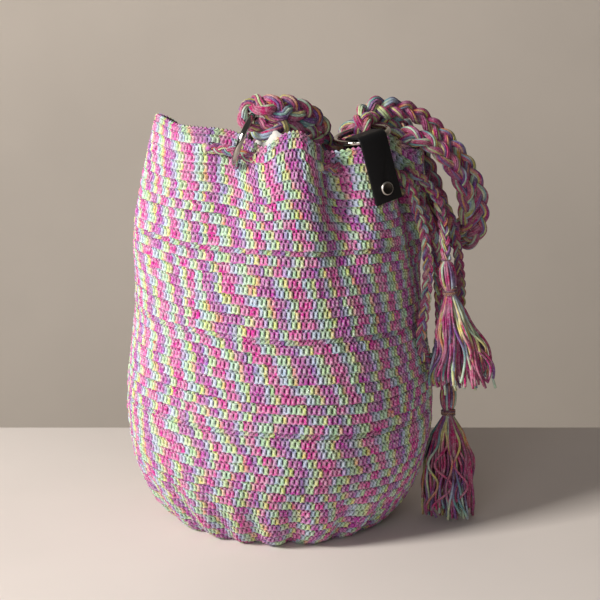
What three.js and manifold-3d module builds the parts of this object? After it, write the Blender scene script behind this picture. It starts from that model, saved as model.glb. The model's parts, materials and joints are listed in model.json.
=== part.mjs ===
// Crocheted drawstring pouch (potli bag) in variegated cotton, standing on its base.
// Millimetres, +Z up, origin at the centre of the base on the floor, front of the bag at -Y.
// An azimuth is in degrees, 0 at the front and 90 at the right side (+X).
import * as THREE from "three";
import { mergeVertices } from "three/addons/utils/BufferGeometryUtils.js";
import Module from "manifold-3d";

// Bag body: radii of the outer face and the heights they belong to.
const BASE_RADIUS = 87;
const BELLY_RADIUS = 131;
const BELLY_HEIGHT = 105;
const WAIST_RADIUS = 117.5;
const WAIST_HEIGHT = 225;
const RIM_RADIUS = 104;
const RIM_HEIGHT = 343;
const WALL = 4.2;
// Each modelled ridge stands for two rounds of stitches.
const ROUND_RIDGES = 18;
const RIDGE_DEPTH = 1.4;
// Folds the drawstring gathers into the neck: azimuth, half width in degrees, push outwards.
const NECK_FOLDS = [
  [-24, 15, -19],
  [27, 9, -25],
  [72, 8.5, -18],
  [90, 12, 16],
  [118, 12, -17],
  [172, 14, -20],
  [222, 12, -18],
  [262, 12, -18],
  [283, 10, 4],
];
const FOLD_FOOT = 200;
const FOLD_TOP = 325;
// Where the rim stands up or sags: azimuth, half width in degrees, lift.
const RIM_WAVES = [
  [-78, 18, 6],
  [-12, 14, -9],
  [6, 9, 2],
  [28, 10, -17],
  [47, 14, -15],
  [65, 9, -6],
  [86, 10, -26],
  [113, 14, -22],
  [150, 26, -24],
  [195, 30, -22],
  [238, 24, -24],
];
const WAVE_FOOT = 250;
// Shallow puckers where the side turns under into the base.
const PUCKERS = 11;
const PUCKER_DEPTH = 2.4;
const PUCKER_HEIGHT = 18;

// Pale cotton lining, sewn in below the rim.
const LINING = 1.2;
const LINING_DROP = 10;

// Nickel rings that carry the strap.
const RING_RADIUS = 21.5;
const RING_WIRE = 5;
const LEFT_RING_AZIMUTH = -24;
const LEFT_RING_HEIGHT = 318;
const LEFT_RING_TILT = 20;
const LEFT_RING_SKEW = 13;
const RIGHT_RING_RISE = 6;
const RIGHT_RING_SKEW = 14;

// Black leather tab folded over the rim and round the right ring, held by one rivet.
const TAB_WIDTH = 25;
const TAB_DROP = 51;
const TAB_LEATHER = 1.8;
const TAB_AZIMUTH = 48;
const TAB_FACING = 30;
const TAB_ROLL = 14;
const TAB_PITCH = 6;
const RIVET_CAP = 11;
const RIVET_HEAD = 1.8;
const RIVET_POST = 4;
const RIVET_UP = 11;

// Braided cords.
const DRAWSTRING = 8.4;
const STRAP = 10.4;

// Tassels: head, binding and skirt.
const HEAD_WIDTH = 15;
const HEAD_LENGTH = 23;
const BINDING_LENGTH = 6;
const BINDING_WRAP = 1.5;
const NECK_WIDTH = 9.6;
const FLUTES = 13;
const UPPER_SKIRT = 82;
const UPPER_SPREAD = [29, 15];
const UPPER_LEAN = 8.5;
const LOWER_SKIRT = 84;
const LOWER_SPREAD = [23, 20];
const LOWER_PITCH = 10;

// Clearances.
const GAP = 0.4;
const CHANNEL = 0.7;
const AROUND = 72;

const wasm = await Module();
wasm.setup();

const degrees = THREE.MathUtils.degToRad;

const ease = (s) => {
  const t = THREE.MathUtils.clamp(s, 0, 1);
  return t * t * (3 - 2 * t);
};

// Sum of rounded bumps round the bag at an azimuth.
const bumps = (list, azimuth) =>
  list.reduce((sum, [at, half, height]) => {
    const turn = THREE.MathUtils.euclideanModulo(azimuth - at + 180, 360) - 180;
    return sum + height * Math.exp(-((turn / half) ** 2));
  }, 0);

// Outer radius of the ungathered bag at a height.
const plainRadius = (height) => {
  if (height < BELLY_HEIGHT) {
    const u = 1 - height / BELLY_HEIGHT;
    return BASE_RADIUS + (BELLY_RADIUS - BASE_RADIUS) * (1 - u ** 2.2) ** 0.625;
  }
  const low = ease((height - BELLY_HEIGHT) / (WAIST_HEIGHT - BELLY_HEIGHT));
  const high = ease((height - WAIST_HEIGHT) / (RIM_HEIGHT - WAIST_HEIGHT));
  return BELLY_RADIUS - (BELLY_RADIUS - WAIST_RADIUS) * low - (WAIST_RADIUS - RIM_RADIUS) * high;
};

const foldPush = (azimuth, height) =>
  bumps(NECK_FOLDS, azimuth) * ease((height - FOLD_FOOT) / (FOLD_TOP - FOLD_FOOT));

const pucker = (azimuth, height) => {
  const band = ease(height / PUCKER_HEIGHT) * (1 - ease((height - PUCKER_HEIGHT) / (2.5 * PUCKER_HEIGHT)));
  const a = degrees(azimuth);
  return -PUCKER_DEPTH * band * (0.5 + 0.5 * Math.cos(PUCKERS * a + 1.4 * Math.sin(2 * a)));
};

const rimLift = (azimuth, height) =>
  bumps(RIM_WAVES, azimuth) * ease((height - WAVE_FOOT) / (RIM_HEIGHT - WAVE_FOOT));

// A point at an azimuth, a distance from the axis and a height.
const polar = (azimuth, radius, height) =>
  new THREE.Vector3(radius * Math.sin(degrees(azimuth)), -radius * Math.cos(degrees(azimuth)), height);

// A point on the gathered wall, set in from the outer face.
const wallPoint = (azimuth, height, inset) =>
  polar(
    azimuth,
    plainRadius(height) + foldPush(azimuth, height) - inset,
    height + rimLift(azimuth, height),
  );

// Turns a closed profile round the axis, then gathers it like the wall.
const gathered = (profile, reversed = false) => {
  const geometry = new THREE.LatheGeometry(profile, AROUND).rotateX(Math.PI / 2);
  const at = geometry.getAttribute("position");
  for (let i = 0; i < at.count; i += 1) {
    const radius = Math.hypot(at.getX(i), at.getY(i));
    if (radius < BASE_RADIUS * 0.9) continue;
    const height = at.getZ(i);
    const azimuth = THREE.MathUtils.radToDeg(Math.atan2(at.getX(i), -at.getY(i)));
    const moved = polar(
      azimuth,
      radius + foldPush(azimuth, height) + pucker(azimuth, height),
      height + rimLift(azimuth, height),
    );
    at.setXYZ(i, moved.x, moved.y, moved.z);
  }
  if (reversed) geometry.setIndex(Array.from(geometry.index.array).reverse());
  return geometry;
};

const solidOf = (geometry) => {
  const plain = geometry.index ? geometry.toNonIndexed() : geometry.clone();
  plain.deleteAttribute("normal");
  plain.deleteAttribute("uv");
  const merged = mergeVertices(plain, 1e-3);
  return new wasm.Manifold(
    new wasm.Mesh({
      numProp: 3,
      vertProperties: new Float32Array(merged.getAttribute("position").array),
      triVerts: new Uint32Array(merged.index.array),
    }),
  );
};

const geometryOf = (solid) => {
  const mesh = solid.getMesh();
  const geometry = new THREE.BufferGeometry();
  geometry.setAttribute("position", new THREE.BufferAttribute(mesh.vertProperties, 3));
  geometry.setIndex(new THREE.BufferAttribute(mesh.triVerts, 1));
  return geometry;
};

const cut = (geometry, tools) =>
  geometryOf(tools.reduce((left, tool) => left.subtract(solidOf(tool)), solidOf(geometry)));

const bag = new THREE.Group();
bag.name = "potli_bag";

const add = (name, geometry, color, roughness, metalness) => {
  const mesh = new THREE.Mesh(
    geometry,
    new THREE.MeshStandardMaterial({ color, roughness, metalness }),
  );
  mesh.name = name;
  bag.add(mesh);
  return mesh;
};

const PINK_YARN = 0xc95a9a;
const LILAC_YARN = 0xb493c8;
const PALE_COTTON = 0xd9d9d6;
const NICKEL = 0xc8c9cc;
const BLACK_LEATHER = 0x17171a;

// A cord swept along its route, with a ring of the tube at every route point and between them.
class Route extends THREE.CatmullRomCurve3 {
  getPointAt(u, target) {
    return this.getPoint(u, target);
  }

  getTangentAt(u, target) {
    return this.getTangent(u, target);
  }

  getSpacedPoints(steps) {
    return this.getPoints(steps);
  }
}

const tube = (points, diameter, sides) => {
  const section = new THREE.Shape(
    Array.from({ length: sides }, (_, i) => {
      const a = (2 * Math.PI * i) / sides;
      return new THREE.Vector2((diameter / 2) * Math.cos(a), (diameter / 2) * Math.sin(a));
    }),
  );
  return new THREE.ExtrudeGeometry(section, {
    steps: Math.round(1.45 * (points.length - 1)),
    bevelEnabled: false,
    extrudePath: new Route(points, false, "centripetal"),
  });
};

// Drawstring: up from the short tassel, in and out round the neck, down in a slack bight,
// in and out once more and down to the long tassel.
const SHORT_TAIL = [
  [135.4, -55, 233],
  [135, -51, 246],
  [133, -44, 264],
  [128.5, -36, 281],
  [119, -28.5, 294],
];
const NECK_ROUTE = [
  [77.5, 111, 301],
  [83, 104, 304],
  [93, 102.5, 306],
  [105, 97.5, 307.9],
  [118, 95, 307],
  [136, 93.8, 301.8],
  [154, 93.3, 298],
  [172, 93, 300.4],
  [190, 92.8, 300.3],
  [207, 93, 300.8],
  [222, 93.6, 299.4],
  [240, 92, 298.6],
  [262, 94.5, 315.2],
  [282, 98, 324.3],
  [302, 95.5, 326],
  [320, 94.5, 327.5],
  [336, 93.5, 326.5],
  [349, 94, 321],
  [364, 93, 317],
  [376, 91, 314],
  [388, 89.5, 312],
  [396, 86, 312],
  [403, 75, 312],
  [412, 70.5, 312],
  [421, 73, 311],
  [426.5, 84, 309],
];
const LONG_TAIL = [
  [90, -40.5, 306],
  [101, -46, 299],
  [109.7, -50, 279],
  [117.3, -52.5, 254],
  [120.8, -54, 231],
  [119, -57, 195],
  [116, -57.5, 171],
  [118, -54.5, 155],
  [124, -46, 147.5],
  [130.5, -38.5, 150],
  [133.5, -36, 164],
  [132, -37.5, 205],
  [127.5, -40, 244],
  [119, -37, 271],
  [108.5, -33.5, 285],
  [96, -29, 291],
  [90, -18, 292],
  [99, -9.5, 291],
  [113, -8.5, 288],
  [127, -11, 284],
  [136, -13, 274],
  [144.5, -16, 256],
  [150, -18, 225],
  [152.5, -17, 190],
  [150, -12, 150],
  [146, -6, 125],
  [145, -5, 116.5],
];
const drawstringRoute = [
  ...SHORT_TAIL.map((p) => new THREE.Vector3(...p)),
  ...NECK_ROUTE.map((p) => polar(...p)),
  ...LONG_TAIL.map((p) => new THREE.Vector3(...p)),
];

// Strap: folded through the left ring, over the right rim, down, up over the back of the rim,
// back again and folded through the right ring.
const STRAP_ROUTE = [
  [32, -58, 333.5],
  [14, -74, 338],
  [-1, -83, 341],
  [-13.7, -86.5, 342.9],
  [-24.9, -82, 347.2],
  [-28.9, -80.2, 355.6],
  [-23.3, -82.2, 363.3],
  [-12, -86, 364.5],
  [2, -81, 361],
  [18, -68, 354],
  [31, -52, 341],
  [43, -36, 323],
  [68, -19, 320.3],
  [88, -9, 325],
  [104, -9, 329],
  [117, -11.5, 327],
  [130, -9, 319.5],
  [140, -7.5, 309],
  [149.5, -5, 295],
  [156, -1, 279],
  [158, 4, 258],
  [154, 13, 247],
  [147, 23, 248],
  [141.5, 30, 258],
  [131, 35.5, 288],
  [123, 35.5, 307],
  [113, 34, 325],
  [102, 32, 335],
  [86, 28, 335],
  [70, 25.5, 330],
  [60, 26.5, 327.5],
  [56, 32.5, 327],
  [60.5, 38.5, 329],
  [72, 40.5, 333.5],
  [88, 44, 336],
  [101, 47.5, 334],
  [111, 49, 325],
  [119, 50, 308],
  [126, 49.5, 289],
  [135, 44, 260],
  [143, 36, 243],
  [154, 24, 234],
  [165, 12, 239],
  [169.5, 6, 254],
  [169, 5, 275],
  [160, 8, 298],
  [146, 9, 318],
  [131, 8, 333],
  [117, 4, 344],
  [103, -1, 350.5],
  [89, -7, 352],
  [76, -13, 352],
  [68.5, -21, 349],
  [67.2, -30.6, 346.6],
  [66.5, -38, 342.8],
  [67.4, -39.6, 336.7],
  [69, -36.5, 331.4],
  [70.7, -28.5, 330.3],
  [73, -17, 332.6],
  [82, -5, 337.2],
  [93, 2.5, 340.5],
  [101, 6.5, 339],
];
const strapRoute = STRAP_ROUTE.map((p) => new THREE.Vector3(...p));

// Left ring: through the wall below the rim, round the drawstring, leaning to the right.
const leftOut = polar(LEFT_RING_AZIMUTH + LEFT_RING_SKEW, 1, 0);
const leftAlong = new THREE.Vector3(-leftOut.y, leftOut.x, 0);
const leftUp = new THREE.Vector3(0, 0, 1)
  .multiplyScalar(Math.cos(degrees(LEFT_RING_TILT)))
  .addScaledVector(leftAlong, Math.sin(degrees(LEFT_RING_TILT)));
const leftCentre = wallPoint(LEFT_RING_AZIMUTH, LEFT_RING_HEIGHT, (WALL + LINING) / 2)
  .addScaledVector(leftUp, RING_RADIUS);
const leftFrame = new THREE.Matrix4()
  .makeBasis(leftOut, leftUp, new THREE.Vector3().crossVectors(leftOut, leftUp))
  .setPosition(leftCentre);
const leftTorus = (wire, sides, steps) =>
  new THREE.TorusGeometry(RING_RADIUS, wire / 2, sides, steps).applyMatrix4(leftFrame);

// Tab frame: x along the rim to the left, y out of the bag, z up the tab.
const tabOut = polar(TAB_FACING, 1, 0);
const tabUp = new THREE.Vector3(0, 0, 1).applyAxisAngle(tabOut, degrees(TAB_ROLL));
const tabAlong = new THREE.Vector3().crossVectors(tabOut, tabUp);
tabOut.applyAxisAngle(tabAlong, degrees(TAB_PITCH));
tabUp.applyAxisAngle(tabAlong, degrees(TAB_PITCH));
const tabOrigin = wallPoint(TAB_AZIMUTH, RIM_HEIGHT - TAB_DROP / 2, 0);
const inTab = (point) => {
  const d = point.clone().sub(tabOrigin);
  return new THREE.Vector3(d.dot(tabAlong), d.dot(tabOut), d.dot(tabUp));
};

// How far the wall reaches under the tab, and how high the rim stands there.
let tabFront = -Infinity;
let tabBack = Infinity;
let tabRim = -Infinity;
for (let azimuth = 20; azimuth <= 80; azimuth += 1) {
  const rim = inTab(wallPoint(azimuth, RIM_HEIGHT, WALL / 2));
  if (Math.abs(rim.x) < TAB_WIDTH / 2 + 3) tabRim = Math.max(tabRim, rim.z);
  for (let drop = 0; drop <= 1.3 * TAB_DROP; drop += 3) {
    const outer = inTab(wallPoint(azimuth, RIM_HEIGHT - drop, 0));
    const inner = inTab(wallPoint(azimuth, RIM_HEIGHT - drop, WALL + GAP + LINING));
    const low = tabRim - TAB_DROP - 2;
    if (Math.abs(outer.x) < TAB_WIDTH / 2 + 2 && outer.z > low) tabFront = Math.max(tabFront, outer.y);
    if (Math.abs(inner.x) < TAB_WIDTH / 2 + 2 && inner.z > low) tabBack = Math.min(tabBack, inner.y);
  }
}
tabFront += GAP + RIDGE_DEPTH / 2;
const skewAlong = RING_RADIUS * Math.sin(degrees(RIGHT_RING_SKEW));
const skewIn = RING_RADIUS * Math.cos(degrees(RIGHT_RING_SKEW));
const bow = skewIn - Math.sqrt(RING_RADIUS ** 2 - (TAB_WIDTH / 2 + skewAlong) ** 2);
const lead = RING_RADIUS - skewIn;
const steep = (TAB_WIDTH / 2 + skewAlong) / RING_RADIUS;
const wireDepth = RING_WIRE / 2 / Math.sqrt(1 - steep ** 2);
const bend = RING_WIRE / 2 + GAP + bow * Math.sin(degrees(RIGHT_RING_RISE));
const wireOut = tabFront - RING_WIRE / 2 - GAP - lead;
tabBack = Math.min(tabBack - GAP, wireOut - bow - wireDepth - bend / 2);
const wireUp = tabRim + RING_WIRE / 2 + GAP;
const tabFoot = wireUp - TAB_DROP;
const tabFrame = new THREE.Matrix4().makeBasis(tabAlong, tabOut, tabUp).setPosition(tabOrigin);

const frontFace = tabFront + TAB_LEATHER;
const backFace = tabBack - TAB_LEATHER;

// Side view of the folded tab, drawn as outward distance against height.
const tabSide = new THREE.Shape();
tabSide.moveTo(tabFront, tabFoot);
tabSide.lineTo(frontFace, tabFoot);
tabSide.absarc(tabFront - bend, wireUp, bend + TAB_LEATHER, 0, Math.PI / 2, false);
tabSide.absarc(tabBack + bend, wireUp, bend + TAB_LEATHER, Math.PI / 2, Math.PI, false);
tabSide.lineTo(backFace, tabFoot);
tabSide.lineTo(tabBack, tabFoot);
tabSide.absarc(tabBack + bend, wireUp, bend, Math.PI, Math.PI / 2, true);
tabSide.absarc(tabFront - bend, wireUp, bend, Math.PI / 2, 0, true);
const tabStrip = new THREE.ExtrudeGeometry(tabSide, {
  depth: TAB_WIDTH,
  steps: 1,
  bevelEnabled: false,
  curveSegments: 6,
});
// The side view was drawn in x and y and swept along z.
tabStrip.applyMatrix4(
  new THREE.Matrix4().makeBasis(
    new THREE.Vector3(0, 1, 0),
    new THREE.Vector3(0, 0, 1),
    new THREE.Vector3(1, 0, 0),
  ),
);
tabStrip.translate(-TAB_WIDTH / 2, 0, 0);

// Right ring: lies back over the mouth from the fold of the tab.
const rightIn = new THREE.Vector3(
  0,
  -Math.cos(degrees(RIGHT_RING_RISE)),
  Math.sin(degrees(RIGHT_RING_RISE)),
);
const rightFrame = new THREE.Matrix4()
  .makeBasis(
    new THREE.Vector3(1, 0, 0),
    rightIn,
    new THREE.Vector3().crossVectors(new THREE.Vector3(1, 0, 0), rightIn),
  )
  .setPosition(new THREE.Vector3(-skewAlong, wireOut, wireUp).addScaledVector(rightIn, skewIn))
  .premultiply(tabFrame);
const rightTorus = (wire, sides, steps) =>
  new THREE.TorusGeometry(RING_RADIUS, wire / 2, sides, steps).applyMatrix4(rightFrame);

// Rivet: a dished cap on a post through tab, wall and lining, closed by a washer inside.
const rivetAt = tabFoot + RIVET_UP;
const turned = (profile, sides) =>
  new THREE.LatheGeometry(profile.map(([r, y]) => new THREE.Vector2(r, y)), sides);
const rivetCap = turned(
  [
    [0, backFace - GAP - RIVET_HEAD / 2],
    [RIVET_POST / 2, backFace - GAP - RIVET_HEAD / 2],
    [RIVET_POST / 2, frontFace + GAP],
    [RIVET_CAP / 2, frontFace + GAP],
    [RIVET_CAP / 2, frontFace + GAP + RIVET_HEAD * 0.55],
    [RIVET_CAP * 0.43, frontFace + GAP + RIVET_HEAD],
    [RIVET_CAP * 0.34, frontFace + GAP + RIVET_HEAD * 0.8],
    [RIVET_CAP * 0.17, frontFace + GAP + RIVET_HEAD * 0.5],
    [0, frontFace + GAP + RIVET_HEAD * 0.45],
  ],
  24,
).translate(0, 0, rivetAt).applyMatrix4(tabFrame);
const rivetWasher = turned(
  [
    [RIVET_POST / 2 + GAP, backFace - GAP - RIVET_HEAD],
    [RIVET_CAP * 0.36, backFace - GAP - RIVET_HEAD],
    [RIVET_CAP * 0.41, backFace - GAP - RIVET_HEAD / 2],
    [RIVET_CAP * 0.41, backFace - GAP],
    [RIVET_POST / 2 + GAP, backFace - GAP],
    [RIVET_POST / 2 + GAP, backFace - GAP - RIVET_HEAD],
  ],
  24,
).translate(0, 0, rivetAt).applyMatrix4(tabFrame);
const rivetHole = turned(
  [
    [0, backFace - 6],
    [RIVET_POST / 2 + GAP, backFace - 6],
    [RIVET_POST / 2 + GAP, frontFace + 6],
    [0, frontFace + 6],
  ],
  20,
).translate(0, 0, rivetAt).applyMatrix4(tabFrame);

// Bag body: floor, ridged side, rim, plain inside.
const sideHeights = [0.03, 0.13, 0.3, 0.48, 0.62, 0.73, 0.83, 0.93, 1].map((s) => s * RIM_HEIGHT);
const foot = plainRadius(sideHeights[0]) - WALL - 7;
const outline = new THREE.SplineCurve(
  Array.from({ length: 60 }, (_, i) => {
    const height = RIM_HEIGHT * (i / 59) ** 1.6;
    return new THREE.Vector2(plainRadius(height), height);
  }),
).getSpacedPoints(2 * ROUND_RIDGES);
const shellProfile = [
  new THREE.Vector2(0, 0),
  ...outline.map((p, i) => {
    const last = outline.length - 1;
    const sway = i === 0 || i === last ? 0 : i % 2 ? RIDGE_DEPTH / 2 : -RIDGE_DEPTH / 2;
    return new THREE.Vector2(p.x + sway, p.y);
  }),
  ...sideHeights.toReversed().map((h) => new THREE.Vector2(plainRadius(h) - WALL, h)),
  new THREE.Vector2(foot, WALL),
  new THREE.Vector2(0, WALL),
];
const liningHeights = [...sideHeights.slice(0, -1), RIM_HEIGHT - LINING_DROP];
const liningOut = WALL + GAP;
const liningIn = liningOut + LINING;
const liningProfile = [
  new THREE.Vector2(0, liningIn),
  new THREE.Vector2(foot - 1.3, liningIn),
  ...liningHeights.map((h) => new THREE.Vector2(plainRadius(h) - liningIn, h)),
  ...liningHeights.toReversed().map((h) => new THREE.Vector2(plainRadius(h) - liningOut, h)),
  new THREE.Vector2(foot - 0.5, liningOut),
  new THREE.Vector2(0, liningOut),
];
const eyelets = [
  tube(drawstringRoute, DRAWSTRING + 2 * CHANNEL, 8),
  leftTorus(RING_WIRE + 2 * CHANNEL, 8, 36),
  rivetHole,
];
add("crochet_body", cut(gathered(shellProfile), eyelets), PINK_YARN, 0.9, 0);
add("lining", cut(gathered(liningProfile, true), eyelets), PALE_COTTON, 0.95, 0);
add("left_ring", leftTorus(RING_WIRE, 8, 36), NICKEL, 0.2, 1);
add("right_ring", rightTorus(RING_WIRE, 8, 36), NICKEL, 0.2, 1);
add("tab", cut(tabStrip.applyMatrix4(tabFrame), [rivetHole]), BLACK_LEATHER, 0.55, 0);
add("rivet_cap", rivetCap, NICKEL, 0.25, 1);
add("rivet_washer", rivetWasher, NICKEL, 0.3, 1);
add("drawstring", tube(drawstringRoute, DRAWSTRING, 8), LILAC_YARN, 0.9, 0);
add("shoulder_strap", tube(strapRoute, STRAP, 8), PINK_YARN, 0.9, 0);

// Tassel of folded yarn: head, waist under the binding, fluted skirt with uneven ends.
const tassel = (name, top, skirt, spread, lean, pitch) => {
  const waist = -HEAD_LENGTH - BINDING_LENGTH;
  const profile = [
    [0, 0],
    [0.3 * HEAD_WIDTH, -0.05 * HEAD_LENGTH],
    [0.46 * HEAD_WIDTH, -0.28 * HEAD_LENGTH],
    [0.5 * HEAD_WIDTH, -0.55 * HEAD_LENGTH],
    [0.44 * HEAD_WIDTH, -0.84 * HEAD_LENGTH],
    [NECK_WIDTH / 2, -HEAD_LENGTH],
    [NECK_WIDTH / 2, waist],
    [0.62 * NECK_WIDTH, waist - 0.08 * skirt],
    [0.95 * NECK_WIDTH, waist - 0.3 * skirt],
    [1.35 * NECK_WIDTH, waist - 0.55 * skirt],
    [1.75 * NECK_WIDTH, waist - 0.8 * skirt],
    [2 * NECK_WIDTH, waist - 0.96 * skirt],
    [1.1 * NECK_WIDTH, waist - 0.93 * skirt],
    [0, waist - 0.88 * skirt],
  ];
  const geometry = turned(profile.toReversed(), 2 * FLUTES).rotateX(Math.PI / 2);
  const at = geometry.getAttribute("position");
  for (let i = 0; i < at.count; i += 1) {
    const down = THREE.MathUtils.clamp((waist - at.getZ(i)) / skirt, 0, 1);
    const radius = Math.hypot(at.getX(i), at.getY(i));
    if (down === 0 || radius < 0.1) continue;
    const a = Math.atan2(at.getX(i), -at.getY(i));
    const flute = 1 + 0.16 * ease(4 * down) * Math.cos(FLUTES * a);
    const wide = 1 + down * (spread[0] / (2 * NECK_WIDTH) - 1);
    const deep = 1 + down * (spread[1] / (2 * NECK_WIDTH) - 1);
    const ragged = 0.045 * skirt * ease((down - 0.8) * 5) * Math.cos(3 * a + 0.7);
    at.setXYZ(i, at.getX(i) * flute * wide, at.getY(i) * flute * deep, at.getZ(i) + ragged);
  }
  const wraps = [-1, -0.25, 0.25, 1].map((s) => -HEAD_LENGTH - (BINDING_LENGTH / 2) * (1 - 0.86 * s));
  const inner = NECK_WIDTH / 2 + 0.3;
  const band = turned(
    [
      [inner, wraps[0]],
      [inner + 0.6 * BINDING_WRAP, wraps[0]],
      [inner + BINDING_WRAP, (wraps[0] + wraps[1]) / 2],
      [inner + 0.6 * BINDING_WRAP, (wraps[1] + wraps[2]) / 2],
      [inner + BINDING_WRAP, (wraps[2] + wraps[3]) / 2],
      [inner + 0.6 * BINDING_WRAP, wraps[3]],
      [inner, wraps[3]],
      [inner, wraps[0]],
    ],
    20,
  ).rotateX(Math.PI / 2);
  const frame = new THREE.Matrix4()
    .makeRotationFromEuler(new THREE.Euler(-degrees(pitch), -degrees(lean), 0))
    .setPosition(top);
  add(`${name}_tassel`, geometry.applyMatrix4(frame), LILAC_YARN, 0.95, 0);
  add(`${name}_tassel_binding`, band.applyMatrix4(frame), PINK_YARN, 0.95, 0);
};

const below = (point) => point.clone().add(new THREE.Vector3(0, 0, -GAP));
tassel("upper", below(drawstringRoute[0]), UPPER_SKIRT, UPPER_SPREAD, UPPER_LEAN, 0);
tassel("lower", below(drawstringRoute.at(-1)), LOWER_SKIRT, LOWER_SPREAD, 0, LOWER_PITCH);

export default bag;
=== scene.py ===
"""Crocheted potli bag in variegated cotton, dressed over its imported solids.

Sizes are in millimetres, meshes are stored in metres. The front of the bag faces -Y.
An azimuth is 0 at the front and grows towards the right side of the bag, +X.
"""

import json
import logging
import math
from dataclasses import dataclass, field
from enum import Enum
from typing import Any

import bmesh
import bpy
import numpy as np
from bpy.types import Material, Mesh, Node, NodeSocket, NodeTree, Object
from mathutils import Euler, Matrix, Vector


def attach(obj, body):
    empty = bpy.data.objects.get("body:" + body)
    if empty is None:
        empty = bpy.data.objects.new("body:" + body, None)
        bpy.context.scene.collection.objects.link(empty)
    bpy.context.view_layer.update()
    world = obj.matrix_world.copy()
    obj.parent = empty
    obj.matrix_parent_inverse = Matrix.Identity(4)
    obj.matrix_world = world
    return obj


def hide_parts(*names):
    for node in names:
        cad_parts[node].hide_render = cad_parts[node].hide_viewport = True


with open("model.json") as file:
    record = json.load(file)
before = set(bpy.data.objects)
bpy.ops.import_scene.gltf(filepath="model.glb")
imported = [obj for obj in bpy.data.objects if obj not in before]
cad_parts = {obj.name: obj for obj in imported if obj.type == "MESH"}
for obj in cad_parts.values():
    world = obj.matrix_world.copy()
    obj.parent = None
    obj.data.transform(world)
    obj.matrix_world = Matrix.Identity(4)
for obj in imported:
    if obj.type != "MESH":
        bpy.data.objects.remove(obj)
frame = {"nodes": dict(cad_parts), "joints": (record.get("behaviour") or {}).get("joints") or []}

LOG = logging.getLogger("potli_bag")
MM = 0.001
SEED = 11
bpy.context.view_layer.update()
# Wished side of a yarn and of a braid at its start.
YARN_SIDE = (0.31, 0.84, 0.44)
BRAID_SIDE = (0.2, -1.0, 0.1)
# Points of cloth that are moved aside in one go.
EASED_AT_ONCE = 4000

Bumps = tuple[tuple[float, float, float], ...]
# Row of a crocheted band: distances off the wall, place up the outline, relief, round and height in the stitch.
Row = tuple[np.ndarray, float, np.ndarray, int, float]
Point = tuple[float, float, float]


class Body(Enum):
    """Bodies of the frame that pieces ride on."""

    BAG = "bag"
    LEFT_RING = "left_ring_body"
    RIGHT_RING = "right_ring_body"


class Slot(Enum):
    """Material slots of the record."""

    CROCHET = "crochet_yarn"
    BRAID = "braid_yarn"
    TASSEL = "tassel_yarn"
    BINDING = "binding_yarn"
    LINING = "lining_cotton"
    RING = "ring_nickel"
    RIVET = "rivet_nickel"
    TAB = "tab_leather"


class Stitch(Enum):
    """Kinds of crochet round: rows of a height in the stitch and the relief from its gap over its post."""

    DOUBLE = (
        (0.0, (0.92, 0.82, 0.56, 0.78)),
        (0.16, (0.4, 0.74, 0.94, 0.8)),
        (0.36, (0.0, 0.56, 1.0, 0.82)),
        (0.58, (0.04, 0.58, 0.96, 0.8)),
        (0.72, (0.84, 0.82, 0.7, 0.78)),
        (0.86, (1.0, 0.84, 0.04, 0.76)),
    )
    SINGLE = (
        (0.0, (0.84, 0.66, 0.46, 0.62)),
        (0.4, (0.1, 0.5, 0.95, 0.72)),
        (0.8, (0.95, 0.7, 0.2, 0.68)),
    )


def linear(colour: str) -> tuple[float, float, float, float]:
    """Turns an sRGB hex colour into linear RGBA.

    Args:
        colour: Six hex digits after a hash sign.

    Returns:
        Linear red, green and blue, with full alpha.
    """
    parts = [int(colour[i : i + 2], 16) / 255 for i in (1, 3, 5)]
    red, green, blue = (p / 12.92 if p <= 0.04045 else ((p + 0.055) / 1.055) ** 2.4 for p in parts)
    return red, green, blue, 1.0


def ease(share: np.ndarray | float) -> np.ndarray:
    """Smooth step from 0 to 1 of a share."""
    t = np.clip(share, 0.0, 1.0)
    return t * t * (3 - 2 * t)


def hump(value: np.ndarray, span: tuple[float, ...]) -> np.ndarray:
    """1 between the two middle marks of a span, eased to 0 at its ends."""
    start, full, falling, end = span
    return ease((value - start) / (full - start)) * (1 - ease((value - falling) / (end - falling)))


def add_node(tree: NodeTree, kind: str, inputs: dict[Any, Any], **settings: Any) -> Node:
    """Adds a shader node with its settings and links.

    Args:
        tree: Node tree that gets the node.
        kind: Blender's type name of the node, after ShaderNode.
        inputs: Input names or numbers, each with a value, a socket that feeds it or a node whose first socket does.
        settings: Properties of the node itself.

    Returns:
        The new node.
    """
    made = tree.nodes.new(f"ShaderNode{kind}")
    for key, value in settings.items():
        setattr(made, key, value)
    for key, value in inputs.items():
        value = value.outputs[0] if isinstance(value, Node) else value
        if isinstance(value, NodeSocket):
            tree.links.new(value, made.inputs[key])
        else:
            made.inputs[key].default_value = value
    return made


def new_material(name: str) -> tuple[Material, NodeTree, Node]:
    """Makes a material with a bare principled shader.

    Args:
        name: Name of the real material.

    Returns:
        The material, its node tree and its shader.
    """
    made = bpy.data.materials.new(name)
    made.use_nodes = True
    return made, made.node_tree, made.node_tree.nodes["Principled BSDF"]


def place_piece(mesh: Mesh, material: Material, body: Body) -> Object:
    """Puts a mesh into the scene as a piece that rides on a body.

    Args:
        mesh: Mesh with the name of the piece.
        material: Material of the whole piece.
        body: Body that it rides on.

    Returns:
        The new object.
    """
    mesh.materials.append(material)
    made = bpy.data.objects.new(mesh.name, mesh)
    bpy.context.scene.collection.objects.link(made)
    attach(made, body.value)
    LOG.info("%s: %d vertices, %d faces", mesh.name, len(mesh.vertices), len(mesh.polygons))
    return made


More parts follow.
